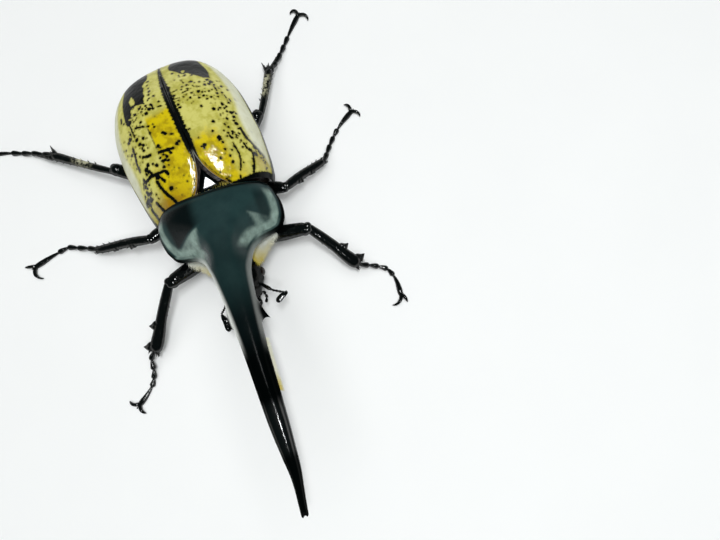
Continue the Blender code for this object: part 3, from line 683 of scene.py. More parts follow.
RIGHT_STREAKS = (
    (0.42, (9.6, 1.0), (10.2, 3.0), (11.2, 5.0), (12.0, 7.5), (12.2, 9.4)),
    (0.38, (13.6, 0.6), (14.2, 2.5), (14.9, 5.0)), (0.35, (16.6, 1.6), (17.2, 5.0)),
    (0.42, (15.2, 11.2), (13.2, 11.6), (11.0, 11.0), (9.2, 10.8), (8.5, 10.0)),
    (0.35, (10.8, 9.8), (10.2, 8.4)), (0.42, (8.3, 15.8), (6.5, 15.4), (4.2, 15.0)),
    (0.36, (12.9, 17.2), (11.6, 16.6), (10.7, 16.4)), (0.36, (5.2, 20.3), (4.5, 19.6)),
    (0.24, (3.4, 18.9), (2.8, 18.6)), (0.3, (15.4, 14.6), (15.3, 17.0), (14.8, 19.0), (14.5, 21.4)),
    (0.27, (11.6, 25.7), (10.4, 25.2), (9.2, 24.6)), (0.22, (12.7, 23.6), (12.8, 28.0)),
    (0.3, (4.9, 28.2), (5.0, 29.8)), (0.22, (3.6, 28.3), (2.6, 28.0)), (0.22, (15.0, 30.8), (14.8, 32.6)),
    (0.02, (8.4, 16.6), (8.4, 24.0)),
)
RIGHT_PATCH = [
    (13.7, 29.0), (12.0, 30.0), (11.2, 30.9), (11.4, 32.2), (10.4, 32.8), (9.0, 32.8), (7.6, 32.1),
    (6.8, 31.8), (6.7, 33.4), (6.0, 34.6), (6.2, 36.0), (5.6, 38.0), (5.9, 39.5), (5.0, 41.0), (4.1, 42.0),
    (3.8, 44.5), (4.4, 48.0), (8.0, 51.0), (10.0, 49.0), (11.4, 45.0), (12.2, 41.0), (12.8, 38.0),
    (13.3, 35.0), (13.6, 32.0),
]
RIGHT_HOLE = [
    (10.6, 33.8), (9.6, 33.6), (9.1, 34.5), (9.3, 36.0), (9.8, 37.7), (10.3, 36.8), (11.0, 36.0),
    (10.8, 35.0),
]
RIGHT_MOTTLE = [
    (18.6, 7.0), (17.2, 5.4), (15.4, 6.2), (14.7, 8.0), (14.4, 10.4), (15.4, 12.8), (16.3, 11.4), (17.2, 9.4),
]
print("right wing case:", len(RIGHT_SPOTS), "spots and", len(RIGHT_STREAKS), "streaks")

# %% Marks of the left wing case
LEFT_SPOTS = (
    (5.4, 1.5, 0.38), (4.2, 4.1, 0.25), (8.7, 5.5, 0.45), (8.7, 7.3, 0.38), (6.1, 7.5, 0.38), (7.6, 8.2, 0.2),
    (8.3, 9.3, 0.38), (9.8, 8.6, 0.28), (10.9, 9.2, 0.38), (11.3, 4.6, 0.24), (8.5, 11.3, 0.38),
    (8.1, 12.5, 0.62), (8.1, 12.8, 0.6), (3.3, 11.5, 0.38), (3.7, 12.3, 0.5), (2.9, 12.2, 0.35),
    (3.1, 14.7, 0.25), (7.3, 15.0, 0.35), (8.6, 17.6, 0.45), (12.4, 17.5, 0.38), (11.4, 11.8, 0.38),
    (12.6, 11.7, 0.33), (12.8, 12.3, 0.3), (10.3, 12.6, 0.3), (11.1, 12.4, 0.3), (11.0, 13.4, 0.35),
    (12.3, 13.4, 0.42), (12.0, 12.9, 0.3), (13.7, 12.6, 0.33), (10.2, 14.3, 0.28), (11.7, 14.9, 0.33),
    (11.0, 16.0, 0.28), (13.3, 10.6, 0.28), (14.1, 14.1, 0.28), (14.2, 15.6, 0.55), (14.0, 16.5, 0.38),
    (14.4, 17.7, 0.42), (14.2, 19.2, 0.5), (14.9, 19.3, 0.3), (13.3, 19.7, 0.28), (15.4, 18.8, 0.28),
    (13.7, 21.3, 0.28), (13.0, 20.8, 0.28), (11.8, 21.1, 0.38), (11.2, 20.7, 0.22), (10.2, 21.2, 0.48),
    (13.0, 22.1, 0.35), (13.0, 22.5, 0.33), (14.8, 22.4, 0.33), (7.4, 23.0, 0.4), (9.7, 24.7, 0.28),
    (11.0, 25.0, 0.33), (12.8, 24.8, 0.28), (2.0, 25.0, 0.38), (1.8, 26.0, 0.42), (1.6, 29.5, 0.45),
    (1.2, 33.3, 0.35), (4.0, 27.8, 0.28), (5.6, 26.7, 0.38), (7.9, 25.8, 0.33), (9.2, 26.0, 0.35),
    (6.5, 28.2, 0.33), (5.9, 30.2, 0.38), (5.0, 28.3, 0.25), (8.4, 28.0, 0.48), (9.2, 27.4, 0.33),
    (11.2, 27.2, 0.33), (12.0, 27.6, 0.3), (10.8, 30.0, 0.48), (12.0, 30.0, 0.48), (13.2, 29.3, 0.3),
    (13.0, 26.0, 0.35), (14.3, 26.1, 0.33), (16.2, 27.2, 0.3), (15.0, 28.6, 0.38), (12.7, 30.8, 0.58),
    (12.0, 31.8, 0.5), (4.7, 31.7, 0.3), (6.0, 31.7, 0.33), (7.6, 32.5, 0.42), (9.7, 31.6, 0.33),
    (4.2, 30.7, 0.24), (6.6, 36.0, 0.4), (3.5, 39.0, 0.42), (1.8, 18.0, 0.3), (8.4, 35.2, 0.35),
)
LEFT_STREAKS = (
    (0.16, (4.9, 2.2), (6.6, 2.3)), (0.24, (8.5, 0.4), (8.9, 1.6)),
    (0.23, (9.6, 3.0), (10.3, 4.2), (10.9, 5.5), (11.2, 7.0), (11.1, 9.0), (11.0, 10.3)),
    (0.28, (12.3, 0.4), (13.0, 2.0), (13.9, 3.5), (14.4, 5.0), (14.9, 6.3)),
    (0.26, (14.4, 7.4), (13.9, 8.5), (13.7, 9.7)),
    (0.36, (17.6, 6.0), (16.8, 8.0), (16.0, 9.5), (15.2, 11.0), (14.9, 12.5), (14.7, 14.2)),
    (0.14, (2.0, 27.4), (2.8, 27.1)), (0.16, (1.4, 28.4), (2.8, 28.0)), (0.16, (1.5, 31.0), (3.0, 31.3)),
    (0.16, (4.0, 29.4), (5.8, 29.6)), (0.16, (7.8, 30.3), (9.2, 29.7)), (0.18, (13.0, 28.6), (13.2, 27.0)),
    (0.16, (5.5, 33.0), (5.1, 34.5)), (0.17, (5.1, 36.0), (5.0, 37.0)), (0.14, (15.6, 22.8), (15.4, 23.8)),
    (0.14, (14.8, 24.2), (14.6, 25.2)),
)
LEFT_PATCH = [
    (2.9, 41.6), (4.0, 40.2), (5.0, 38.8), (5.6, 37.6), (6.4, 36.8), (7.5, 36.9), (8.3, 36.0), (9.4, 34.8),
    (11.4, 33.0), (13.0, 32.6), (13.2, 36.0), (12.4, 40.0), (11.5, 45.0), (10.0, 49.0), (8.0, 51.0),
    (4.0, 49.4), (3.4, 46.0), (2.8, 43.4),
]
LEFT_HOLE = [(6.1, 37.4), (6.9, 37.4), (7.1, 38.6), (6.5, 39.0), (5.9, 38.6)]
LEFT_MOTTLE = [(14.6, 6.6), (16.0, 5.0), (17.8, 5.2), (17.2, 7.4), (15.6, 9.6), (14.2, 9.8)]
print("left wing case:", len(LEFT_SPOTS), "spots and", len(LEFT_STREAKS), "streaks")

# %% Scattered specks and the whole pattern of one wing case
SEAM_BORDER = profile((
    (0, -0.2), (7, -0.1), (10, 0.5), (12, 0.95), (16, 1.15), (30, 1.2), (35, 0.95), (40, 0.6), (47, 0.3),
    (52, 0.3),
))
# Seed, number, ranges from the seam and behind the front, and radii of the specks
RIGHT_SPECKS = (
    (4, 46, (9, 18), (15, 31), (0.05, 0.2)), (5, 34, (5, 13), (28, 33), (0.1, 0.26)),
    (6, 14, (3, 9), (2, 26), (0.05, 0.12)),
)
LEFT_SPECKS = (
    (7, 44, (10, 18), (10, 31), (0.05, 0.2)), (8, 26, (3, 12), (24, 36), (0.06, 0.2)),
    (9, 26, (13, 18), (2, 10), (0.08, 0.28)),
)
RIGHT_WING = RIGHT_SPOTS, RIGHT_STREAKS, RIGHT_PATCH, RIGHT_HOLE, RIGHT_MOTTLE, RIGHT_SPECKS
LEFT_WING = LEFT_SPOTS, LEFT_STREAKS, LEFT_PATCH, LEFT_HOLE, LEFT_MOTTLE, LEFT_SPECKS
BARE_SEAM = 2.2


def specks(a, y, seed, count, a_range, y_range, radii):
    """Small random spots in a rectangle, placed with a fixed seed."""
    draw = np.random.default_rng(seed)
    marks = [(draw.uniform(*a_range), draw.uniform(*y_range), draw.uniform(*radii)) for _ in range(count)]
    return spots(a, y, [mark for mark in marks if mark[0] > BARE_SEAM])


def wing_case_marks(side, a, y, width):
    """How far each point lies inside the black pattern, in millimetres."""
    dots, lines, corners, hole, mottled, scattered = LEFT_WING if side > 0 else RIGHT_WING
    from_seam = a - INNER_EDGE(y)
    teeth = 0.25 * np.sin(y * 7.1 + side) * np.sin(y * 2.3) * rise(14, 20, y)
    flecks = specks(a, y, 11 + side, 60, (14, 19), (4, 13), (0.18, 0.5))
    depth = highest(
        SEAM_BORDER(y) + teeth - from_seam, 0.1 - np.abs(from_seam - 0.75) - 0.3 * rise(8, 10, y),
        spots(a, y, dots), streaks(a, y, lines), np.minimum(patch(a, y, corners), -patch(a, y, hole)),
        np.minimum(patch(a, y, mottled), flecks + 0.1), *[specks(a, y, *numbers) for numbers in scattered],
        0.9 + (0.6 if side > 0 else 0.5) * rise(8, 15, a) - y, a - width + 0.45,
    )
    return np.clip(depth, -1.0, 1.0)


print("specks to scatter:", sum(count for _, count, *_ in RIGHT_SPECKS + LEFT_SPECKS))

# %% [markdown]
# ## Yellow wing-case cuticle
# The yellow lies in a layer under clear chitin, so it has the depth of lacquer: a rough base
# colour under a thin polished coat. Marks on the mesh steer it: dark for the black pattern, gold
# for the deeper yellow near the seam, amber where the rim of the shield rubs, a mark for a painted
# pale reflection on the flanks, stronger where they are seen sidelong, and for painted highlight
# lines beside the front of the seam, and matt where the coat has lost its shine. Faint ripples in
# the coat, a millimetre or two apart, break the lamp's reflection into pieces.

# %% The patterned wing-case finish
wing_chitin, tree, shader, place, dark, gold, amber, painted_pale_reflection, matt = new_finish(
    "lacquered_wing_case_chitin", CHITIN_IOR, 0.3, "dark", "gold", "amber", "painted_pale_reflection", "matt",
)
torn, mottle, ripples = [
    add_node(tree, "ShaderNodeTexNoise", {
        "Vector": place, "Scale": per_metre(size), "Detail": detail, "Roughness": rough,
    })
    for size, detail, rough in ((0.55, 3.0, 0.5), (2.4, 5.0, 0.6), (1.7, 3.0, 0.5))
]
pores = add_node(tree, "ShaderNodeTexVoronoi", {"Vector": place, "Scale": per_metre(0.9)})
torn = add_node(tree, "ShaderNodeMapRange", {
    "Value": torn, "From Min": 0.2, "From Max": 0.8, "To Min": -0.22, "To Max": 0.22,
})
inside = add_node(tree, "ShaderNodeMath", {0: dark, 1: torn}, operation="ADD")
washed = add_node(tree, "ShaderNodeMath", {0: mottle, 1: gold}, operation="ADD")
facing = add_node(tree, "ShaderNodeLayerWeight", {"Blend": 0.5}).outputs["Facing"]
black, halo, stains, washed, flank, pores = [
    add_node(tree, "ShaderNodeMapRange", {
        "Value": value, "From Min": low, "From Max": high, "To Max": strength,
    }, interpolation_type="SMOOTHSTEP")
    for value, low, high, strength in (
        (inside, -0.07, 0.08, 1), (inside, -0.42, 0.0, 0.6), (mottle, 0.36, 0.6, 1), (washed, 0.7, 1.3, 1),
        (facing, 0.1, 0.34, 1), (pores, 0.05, 0.2, 1),
    )
]
pale, deep = [
    painted(tree, linear(colour), ((stains, stain),))
    for colour, stain in (("#b3ae4c", "#cdc96f"), ("#a8920a", "#cfba0c"))
]
hue = add_node(tree, "ShaderNodeMix", {"Factor": washed, 6: pale, 7: deep}, data_type="RGBA")
# A painted pale reflection on the flanks, stronger where they are seen sidelong, and painted highlight lines
# beside the front of the seam; noise varies its strength.
wear_and_reflection = add_node(tree, "ShaderNodeMapRange", {
    "Value": mottle, "From Min": 0.3, "From Max": 0.7, "To Min": 0.7, "To Max": 0.95,
})
for share in (painted_pale_reflection, flank):
    wear_and_reflection = add_node(tree, "ShaderNodeMath", {0: wear_and_reflection, 1: share}, operation="MULTIPLY")
clear = add_node(tree, "ShaderNodeMapRange", {"Value": matt, "To Min": 1.0, "To Max": 0.2})
clear = add_node(tree, "ShaderNodeMath", {
    0: clear, 1: mirror_left(tree, 0.4, 0.7, 0.03),
}, operation="MULTIPLY")
relief = relief_of(tree, (ripples, 0.16), (pores, 0.012))
# Over the yellow: amber, the halo round the spots, the black pattern, and the painted pale reflection.
fill(shader, {
    "Base Color": painted(tree, hue, (
        (amber, "#8a5a12"), (halo, "#6d6414"), (black, "#030504"), (wear_and_reflection, "#dddfcb"),
    )),
    "Specular IOR Level": 0.03, "Normal": relief,
    "Coat Weight": clear, "Coat Roughness": 0.05, "Coat IOR": CHITIN_IOR, "Coat Normal": relief,
})

# %% [markdown]
# ## The wing cases
# The two wing cases meet in a straight seam and cover the folded wings and the back. Each is a
# shell of even thickness with a raised bead along the seam and along the outer margin, a bump at
# the shoulder and a softer one near the rear. The grid is about 0.2 mm, fine enough to carry the
# pattern. The inner skin is the outer one moved inwards, and a strip joins them round the edge.

# %% Sizes of the wing cases, backwards from the shield
WING_LENGTH = 52.0
WING_HALF_WIDTH = profile((
    (0, 17.6), (3, 18.9), (10, 20.1), (20, 20.9), (28, 20.5), (38, 18.1), (44, 15.0), (49, 9.8), (52, 1.6),
))
WING_TOP = profile((
    (0, 25.4), (3, 26.9), (7, 28.2), (12, 29.3), (18, 30.0), (24, 30.1), (34, 27.4), (43, 21.8), (48.5, 15.8),
    (52, 9.6),
))
WING_MARGIN = profile(((0, 13.0), (10, 12.0), (30, 11.6), (45, 10.4), (52, 9.0)))
MARGIN_SHIFT, LEAN = -0.5, 1.4
SCUTELLUM_LENGTH, SCUTELLUM_HALF_WIDTH = 8.0, 4.6
INNER_EDGE = profile((
    (0, 6.4), (1, 5.3), (2, 4.3), (3, 3.4), (4, 2.7), (5, 2.1), (6, 1.6), (7, 1.2), (8, 0.85), (9.5, 0.45),
    (11.5, 0.08), (12, 0.05), (52, 0.05),
))
# Where the painted reflection on the flank starts, from the seam
FLANK_LEFT = profile((
    (2, 18.4), (6, 17.6), (11, 15.9), (16, 15.6), (25, 16.6), (34, 15.4), (42, 13.4), (49, 8.6),
))
FLANK_RIGHT = profile((
    (2, 18.8), (8, 18.2), (14, 17.2), (22, 17.7), (32, 16.3), (42, 13.4), (49, 8.4),
))
SHELL_THICKNESS, THIN_EDGE = 1.0, 6
ROWS, COLUMNS = 270, 150
print("a wing case is", WING_LENGTH, "mm long and at most", WING_HALF_WIDTH(20), "mm wide")

# %% Colours of one wing case
def wing_case_fields(side, a, y, width, from_seam, rim_line):
    """Where the yellow is deep or brown, where a painted pale reflection lies, and where the coat is dull,
    each from 0 to 1.
    """
    if side < 0:
        gold = fall(7.8, 8.8, a) * fall(23, 30, y) * rise(0, 2, y)
        gold = np.maximum(gold, 0.8 * fall(11, 14.5, a) * fall(8, 17, y))
        amber = 0.8 * hill(a, 12, 5.5) * hill(y, 2, 3.5)
        flank = FLANK_RIGHT(y)
    else:
        gold = fall(6, 12, a) * fall(10, 21, y)
        gold = np.maximum(gold, 0.5 * fall(10, 15, a) * fall(2, 16, y))
        amber = 0.4 * hill(a, 16.5, 2) * hill(y, 4, 3)
        flank = FLANK_LEFT(y)
    # A painted pale reflection on the flank, off the black margin; below, a painted highlight line beside the
    # front of the seam.
    painted_pale_reflection = rise(-0.6, 0.9, a - flank) * fall(width - 0.9, width - 0.5, a) * rise(1.5, 5, y)
    return {
        "gold": gold,
        "amber": np.maximum(amber, 0.9 * fall(0.3, 0.6, from_seam) * fall(7, 10, y)),
        "painted_pale_reflection": np.maximum(
            painted_pale_reflection * fall(-0.9, -0.1, rim_line), 0.8 * fall(0.1, 0.3, from_seam) * fall(11, 13, y),
        ),
        "matt": highest(rise(4, 7, a) * rise(22, 28, y) * (side < 0), fall(1.4, 2.4, y)),
    }


print("colour marks: gold, amber, frost and matt")

# %% One wing case
def wing_case(name, side):
    """One shell with an inner and an outer skin, 1 for the left side and -1 for the right."""
    v = np.linspace(0, 1, ROWS)[:, None]
    u = np.linspace(0, 1, COLUMNS)[None]
    y = WING_LENGTH * (1 - (1 - v) ** 1.6)
    width, inner = WING_HALF_WIDTH(y), INNER_EDGE(y)
    first = np.arcsin(np.clip(inner / width, 0, 1) ** (1 / SQUARENESS))
    angle = first + (math.pi / 2 - first) * u
    height = np.maximum(0, np.cos(angle)) ** SQUARENESS
    a = width * np.sin(angle) ** SQUARENESS
    from_seam = a - inner
    seam_bead = 0.12 * hill(from_seam, 0.5, 0.35) - 0.05 * hill(from_seam, 1.3, 0.25)
    outer_bead = 0.22 * hill(height, 0, 0.03)
    z = WING_MARGIN(y) + (WING_TOP(y) - WING_MARGIN(y)) * height
    z = z + seam_bead * (height > 0.3) * rise(6, 10, y)
    z = z + 0.35 * hill(a, 14.5, 2.6) * hill(y, 4.5, 3.2) + 0.3 * hill(a, 8, 3) * hill(y, 43.5, 3)
    z = z - 0.35 * np.clip(1 - from_seam / 2.6, 0, 1) ** 2 * fall(14, 21, y)
    x = MARGIN_SHIFT + side * (a + outer_bead) + LEAN * height
    outer = np.stack([x, y + 0 * x, z], -1)
    normal = unit(np.cross(np.gradient(outer, axis=1), np.gradient(outer, axis=0)) * side)
    from_edge = np.minimum(np.minimum(u, 1 - u) * COLUMNS, np.minimum(v, 1 - v) * ROWS)
    thickness = SHELL_THICKNESS * (0.35 + 0.65 * rise(0, THIN_EDGE, from_edge))
    lower = outer - normal * thickness[..., None]
    ids, quads = grid(ROWS, COLUMNS)
    border = np.concatenate((ids[0, :-1], ids[:-1, -1], ids[-1, :0:-1], ids[:0:-1, 0]))
    after = np.roll(border, -1)
    strip = np.stack([border, after, after + ids.size, border + ids.size], -1)
    faces = quads.tolist() + (quads[:, ::-1] + ids.size).tolist() + strip.tolist()
    points = np.vstack((outer.reshape(-1, 3), lower.reshape(-1, 3)))
    outward = side * x - outer_bead
    rim_line = (0.55 if side > 0 else 0.45) - (outward.max(axis=1, keepdims=True) - outward)
    rim_line = np.clip(3 * rim_line, -1, 1) - 2 * fall(12, 20, y)
    marks = wing_case_fields(side, a, y, width, from_seam, rim_line)
    marks = {key: np.tile(values.ravel(), 2) for key, values in marks.items()}
    dark = np.maximum(wing_case_marks(side, a, y + 0 * a, width), rim_line)
    marks["dark"] = np.concatenate((dark.ravel(), np.full(ids.size, 0.2)))
    built(name, (points, faces), BODY, wing_chitin, marks, slot="yellow_elytra")


wing_case("elytron_left", 1)
wing_case("elytron_right", -1)

# %% [markdown]
# ## Scutellum
# The scutellum is the small shield that locks the wing cases together. It is a smooth
# three-sided plate, a little lower than the wing cases. Rings that narrow to a point make it,
# flat below and gently crowned above, with a low border round the crown that has lost its mirror.

# %% The plate between the wing cases
rows = np.linspace(0, 1, 46)[:, None]
turns = full_turn(96)[None]
y = 0.4 + (SCUTELLUM_LENGTH - 0.4) * rows
half = np.minimum(SCUTELLUM_HALF_WIDTH * (1 - rows) ** 1.1 + 0.15, INNER_EDGE(y) + 0.35)
across = np.sign(np.cos(turns)) * np.abs(np.cos(turns)) ** 0.6
up = np.sign(np.sin(turns)) * np.abs(np.sin(turns)) ** 0.8
rim_height = 24.55 + 0.267 * y - 0.098 * across * half
from_edge = (1 - np.abs(across)) * half
crown = 0.8 * rise(0.3, 1.7, from_edge) * rise(0.6, 2.4, y)
z = rim_height + np.where(up > 0, crown + 0.2 * up, 1.2 * up)
x = MARGIN_SHIFT + LEAN + half * across * rounded_end(rows, 0.06, 0.01)
border = 1 - rise(0.8, 1.4, from_edge) * rise(1.0, 2.0, y)
marks = {"polish": np.ones(border.size + 2), "dull": np.append(border, (1, 1))}
built("scutellum", loft(np.stack([x, y + 0 * across, z], -1)), BODY, shield_chitin, marks)

# %% [markdown]
# ## The body under the wing cases
# The underside isn't in the photograph. It follows the species: a broad plate between the
# middle and hind legs, then the belly rings, each of which overlaps the next like a roof tile.
# One formula gives both pieces, and the rings are small steps cut into the lower half.

# %% Hind thorax and abdomen
BELLY = profile(((0, 7.0), (5, 4.6), (15, 4.2), (30, 4.4), (42, 5.2), (52, 7.4)))
THORAX_START, THORAX_END, ABDOMEN_END = 0.5, 18.0, 50.2
RING_ENDS = (24.0, 29.0, 33.5, 38.0, 43.0)
UNDER_WINGS = 1.9


def hindbody(name, start, end, rounded_in_front):
    """A stretch of the body under the wing cases, with grooves between the rings of its belly."""
    y = np.linspace(start, end, 130)[:, None]
    sizes = rounded_end(y - start if rounded_in_front else end - y, 2.5, 0.0004)
    half = np.maximum(WING_HALF_WIDTH(y + 1.6) - UNDER_WINGS, 2)
    roof, side = WING_TOP(y + 1.2) - UNDER_WINGS, WING_MARGIN(y) - 0.4
    across, height = section(full_turn(140)[None], half, roof, side, BELLY(y), sizes)
    low = rise(0.1, 0.6, (side - height) / (side - BELLY(y) + 0.01))
    for ring_end in RING_ENDS:
        bow = ring_end - 1.6 * (across / half) ** 2
        height = height + 0.45 * low * np.exp(-np.clip(y - bow, 0, 9) / 0.9) * (y > bow)
    height = height + 0.25 * hill(across, 0, 0.5) * low * (y < THORAX_END)
    lean = LEAN * np.maximum(0, height - side) / (roof - side)
    rings = np.stack([MARGIN_SHIFT + across + lean, y + 0 * across, height], -1)
    built(name, loft(rings), BODY, brown_chitin)


hindbody("hind_thorax", THORAX_START, THORAX_END + 0.1, True)
hindbody("abdomen", THORAX_END - 0.1, ABDOMEN_END, False)

# %% [markdown]
# ## The head
# Most of the head hides under the long horn, but it is seen from the side. It is a flat capsule
# with a forked front edge, a bulging eye on each side behind a small shelf, and a horn of its
# own that rises towards the long one. The eye is a half ball with many fine facets, glossy and
# brown-black, so it has a finish of its own with the facets as bump.

# %% Head capsule
HEAD_LENGTH = 16.0
HEAD_HALF_WIDTH = profile(((0, 3.6), (3, 5.8), (7, 6.7), (10, 6.5), (13, 5.0), (16, 3.0)))
HEAD_TOP = profile((
    (0, 10.6), (1.5, 12.0), (3, 13.8), (5, 15.8), (8, 17.0), (11, 16.2), (14, 13.2), (16, 11.4),
))
HEAD_SIDE = profile(((0, 9.4), (8, 11.4), (16, 10.4)))
HEAD_UNDER = profile(((0, 8.4), (3, 7.0), (8, 6.4), (13, 7.4), (16, 9.2)))

f = HEAD_LENGTH * np.linspace(0.002, 0.998, 84)[:, None]
sizes = rounded_end(np.minimum(f, HEAD_LENGTH - f), 1.6, 0.001)
across, height = section(
    full_turn(96)[None], HEAD_HALF_WIDTH(f), HEAD_TOP(f), HEAD_SIDE(f), HEAD_UNDER(f), sizes,
)
across = across * (1 + 0.06 * hill(f, 10.4, 0.7) * hill(height, 12.0, 0.6))
across = across * (1 - 0.05 * hill(f, 8.4, 1.7) * hill(height, 11.6, 1.7))
fork = rise(14.0, 16.0, f) * hill(across, 0, 0.9)
brow = 0.5 * hill(f, 13.4, 0.5) * (height > HEAD_SIDE(f) + 0.8)
rings = np.stack([across, 0.9 * fork - f, height + brow * sizes], -1)
built("head", loft(rings), HEAD, head_chitin)

# %% The head's horn
HORN_PATH = [(0, -f, z) for f, z in (
    (9.6, 16.6), (13.5, 17.4), (19, 17.2), (26, 17.8), (34, 19.4), (41, 21.6), (47, 23.9),
)]
HORN_SIZES = ((0, 2.6), (0.1, 2.3), (0.25, 2.0), (0.45, 1.8), (0.66, 1.6), (0.85, 1.25), (1, 0.6))
shells = [limb(HORN_PATH, HORN_SIZES, around=28, steps=90)]
for root, tip, radius in (((28, 18.4), (29.4, 22.3), 1.2), ((40, 21.4), (38.6, 24.2), 0.85)):
    middle = ((root[0] + tip[0]) / 2 + 0.3, (root[1] + tip[1]) / 2)
    path = [(0, -f, z) for f, z in (root, middle, tip)]
    shells.append(limb(path, ((0, radius), (0.5, radius * 0.75), (1, 0.22)), around=16, steps=20))
points, faces = fused(shells, 0.2, 8)
built("cephalic_horn", (points, faces), HEAD, shield_chitin, {"polish": np.full(len(points), 0.9)})

# %% Eyes
SIDES = (("left", 1), ("right", -1))
EYE_CENTRE, EYE_RADIUS = (5.75, -8.4, 11.6), 1.65
eye_finish, tree, shader, place = new_finish("faceted_eye", 1.5, 0.08)
facets = add_node(tree, "ShaderNodeTexVoronoi", {"Vector": place, "Scale": per_metre(0.16)})
tone = add_node(tree, "ShaderNodeTexNoise", {"Vector": place, "Scale": per_metre(1.5), "Detail": 2.0})
fill(shader, {
    "Base Color": painted(tree, linear("#0a0605"), ((tone, "#1c100a"),)),
    "Normal": relief_of(tree, (facets, -0.02)),
})
for name, side in SIDES:
    eye = ball((side * EYE_CENTRE[0], *EYE_CENTRE[1:]), (EYE_RADIUS,) * 3, around=40, rings=28)
    built(f"eye_{name}", eye, HEAD, eye_finish, slot="eye")

# %% [markdown]
# ## Mouthparts and antennae
# A rhinoceros beetle licks sap, so its jaws are short and blunt, with two pairs of feelers
# below them. Each antenna is a long first joint, a chain of beads and a club of three leaves,
# which the beetle holds together here. They are beads along a path, fused into one skin.

# %% Jaws and mouth feelers
JAW = (2.4, 14.6, 7.6), (2.3, 16.4, 7.5), (1.9, 17.5, 7.7), (1.1, 18.2, 8.2)
OUTER_FEELER = (4.6, 13.0, 6.3), (5.0, 14.8, 5.9), (4.4, 16.7, 6.0)
INNER_FEELER = (4.3, 12.9, 6.2), (2.9, 14.4, 5.6), (2.3, 16.5, 5.9)
BEAD_OVERLAP = 0.012


def beads(path, joints, neck, swell, around=14):
    """Segments along a path, each narrow at its start and widest before its end."""
    line, _ = centre_line(path)
    sizes = ((0, neck), (0.3, (neck + swell) / 2), (0.78, swell), (1, swell * 0.8))
    return [
        limb(line(np.linspace(start, end + BEAD_OVERLAP, 7)), sizes, around=around, steps=24)
        for start, end in zip(joints, joints[1:])
    ]


for name, side in SIDES:
    jaw, outer, inner = [
        [(side * x, -f, z) for x, f, z in path] for path in (JAW, OUTER_FEELER, INNER_FEELER)
    ]
    shells = [limb(jaw, ((0, 1.2), (0.5, 1.15), (0.8, 0.8), (1, 0.35)), flat=0.7)]
    shells.append(ball((side * 3.1, -16.2, 7.6), (0.6, 1.0, 0.7)))
    built(f"mandible_{name}", fused(shells, 0.12), HEAD, black_chitin)
    shells = beads(outer, (0, 0.3, 0.62, 1), 0.24, 0.5) + beads(inner, (0, 0.35, 0.65, 1), 0.22, 0.42)
    built(f"palps_{name}", fused(shells, 0.08, 2), HEAD, black_chitin)

# %% Antennae
ANTENNAE = {
    "left": (
        (1.2, -25.4, 11.8), (2.8, -27.9, 12.6), (3.7, -29.0, 13.0), (4.9, -29.9, 13.0),
        (6.1, -30.8, 13.0), (7.2, -31.2, 13.0), (3.4, -32.6, 13.0),
    ),
    "right": (
        (-9.2, -24.8, 12.2), (-9.7, -26.0, 12.6), (-10.4, -27.0, 13.0), (-11.1, -27.8, 13.0),
        (-11.9, -28.4, 13.0), (-12.5, -28.9, 13.0), (-12.4, -34.2, 13.0),
    ),
}
LEAF_STEP = 0.36
LEAF_SIZES = ((0, 0.3), (0.3, 0.72), (0.75, 0.8), (1, 0.5))
for name, side in SIDES:
    *stalk, club_tip = [np.array(place) for place in ANTENNAE[name]]
    shells = beads(stalk, (0, 0.34, 0.46, 0.57, 0.68, 0.79, 0.9, 1), 0.24, 0.42)
    shells += beads(stalk[:3], (0, 0.8), 0.4, 0.58)
    root = stalk[-1]
    reach = np.linalg.norm(club_tip - root) + 0.3
    run = unit(club_tip - root)
    middle = root + run * reach * 0.45 + np.cross(run, UP) * side * 0.25
    leaves = []
    for leaf in (-1, 0, 1):
        lift = np.array((0, 0, leaf * LEAF_STEP))
        line = [root + lift * 0.3, middle + lift, club_tip + run * 0.2 + lift]
        leaves.append(limb(line, LEAF_SIZES, flat=0.2))
    built(f"antenna_{name}", joined([fused(shells, 0.07, 2), *leaves]), BODY, black_chitin)

# %% [markdown]
# ## The legs
# Each leg has a coxa set in the body, a stout femur, a tibia with teeth for digging or
# climbing, and a foot of five beads with a pair of hooked claws. The fore tibia is a flat
# blade with teeth on its outer edge. Spikes and claws taper to a point, which a voxel remesh
# would blunt, so they are added after the melting. A fine velvet on the hind shins dulls part
# of their polish.

# %% Sizes and places of the legs
# Half sizes at the start, middle and end, teeth as (share, length), spurs as (lean, length)
LEG_SIZES = {
    "fore": {
        "coxa": (2.7, 3.4, 2.7), "femur": (2.4, 2.45, 1.85), "tibia": (1.55, 1.6, 2.0), "flat": 0.68,
        "tooth_side": 1, "teeth": ((0.65, 3.0), (0.95, 3.2)), "spurs": ((-1.1, 2.7),),
        "bow": (0.0, -0.1, -0.6), "heel": 0.6, "bristles": (-1,),
    },
    "mid": {
        "coxa": (3.2, 2.6, 2.3), "femur": (1.8, 2.2, 1.65), "tibia": (1.5, 1.45, 1.3), "flat": 0.85,
        "tooth_side": -1, "teeth": ((0.35, 2.0), (0.66, 1.7)), "spurs": ((1.2, 1.9), (-0.5, 2.2)),
        "bow": (0.0, 0.3, 0.0), "heel": 0.3,
    },
    "hind": {
        "coxa": (4.2, 2.9, 2.3), "femur": (1.9, 2.3, 1.85), "tibia": (1.1, 1.15, 1.4), "flat": 0.85,
        "tooth_side": -1, "teeth": ((0.5, 1.7),), "spurs": ((0.9, 4.5), (0.18, 3.7), (-0.2, 7.0)),
        "bow": (-0.8, -0.6, -0.2), "heel": 0.0, "knob": 1.06,
    },
}
# Shares of the shin between which the velvet grows
VELVET = {"hind_left": (0.36, 0.84), "hind_right": (0.34, 0.64)}
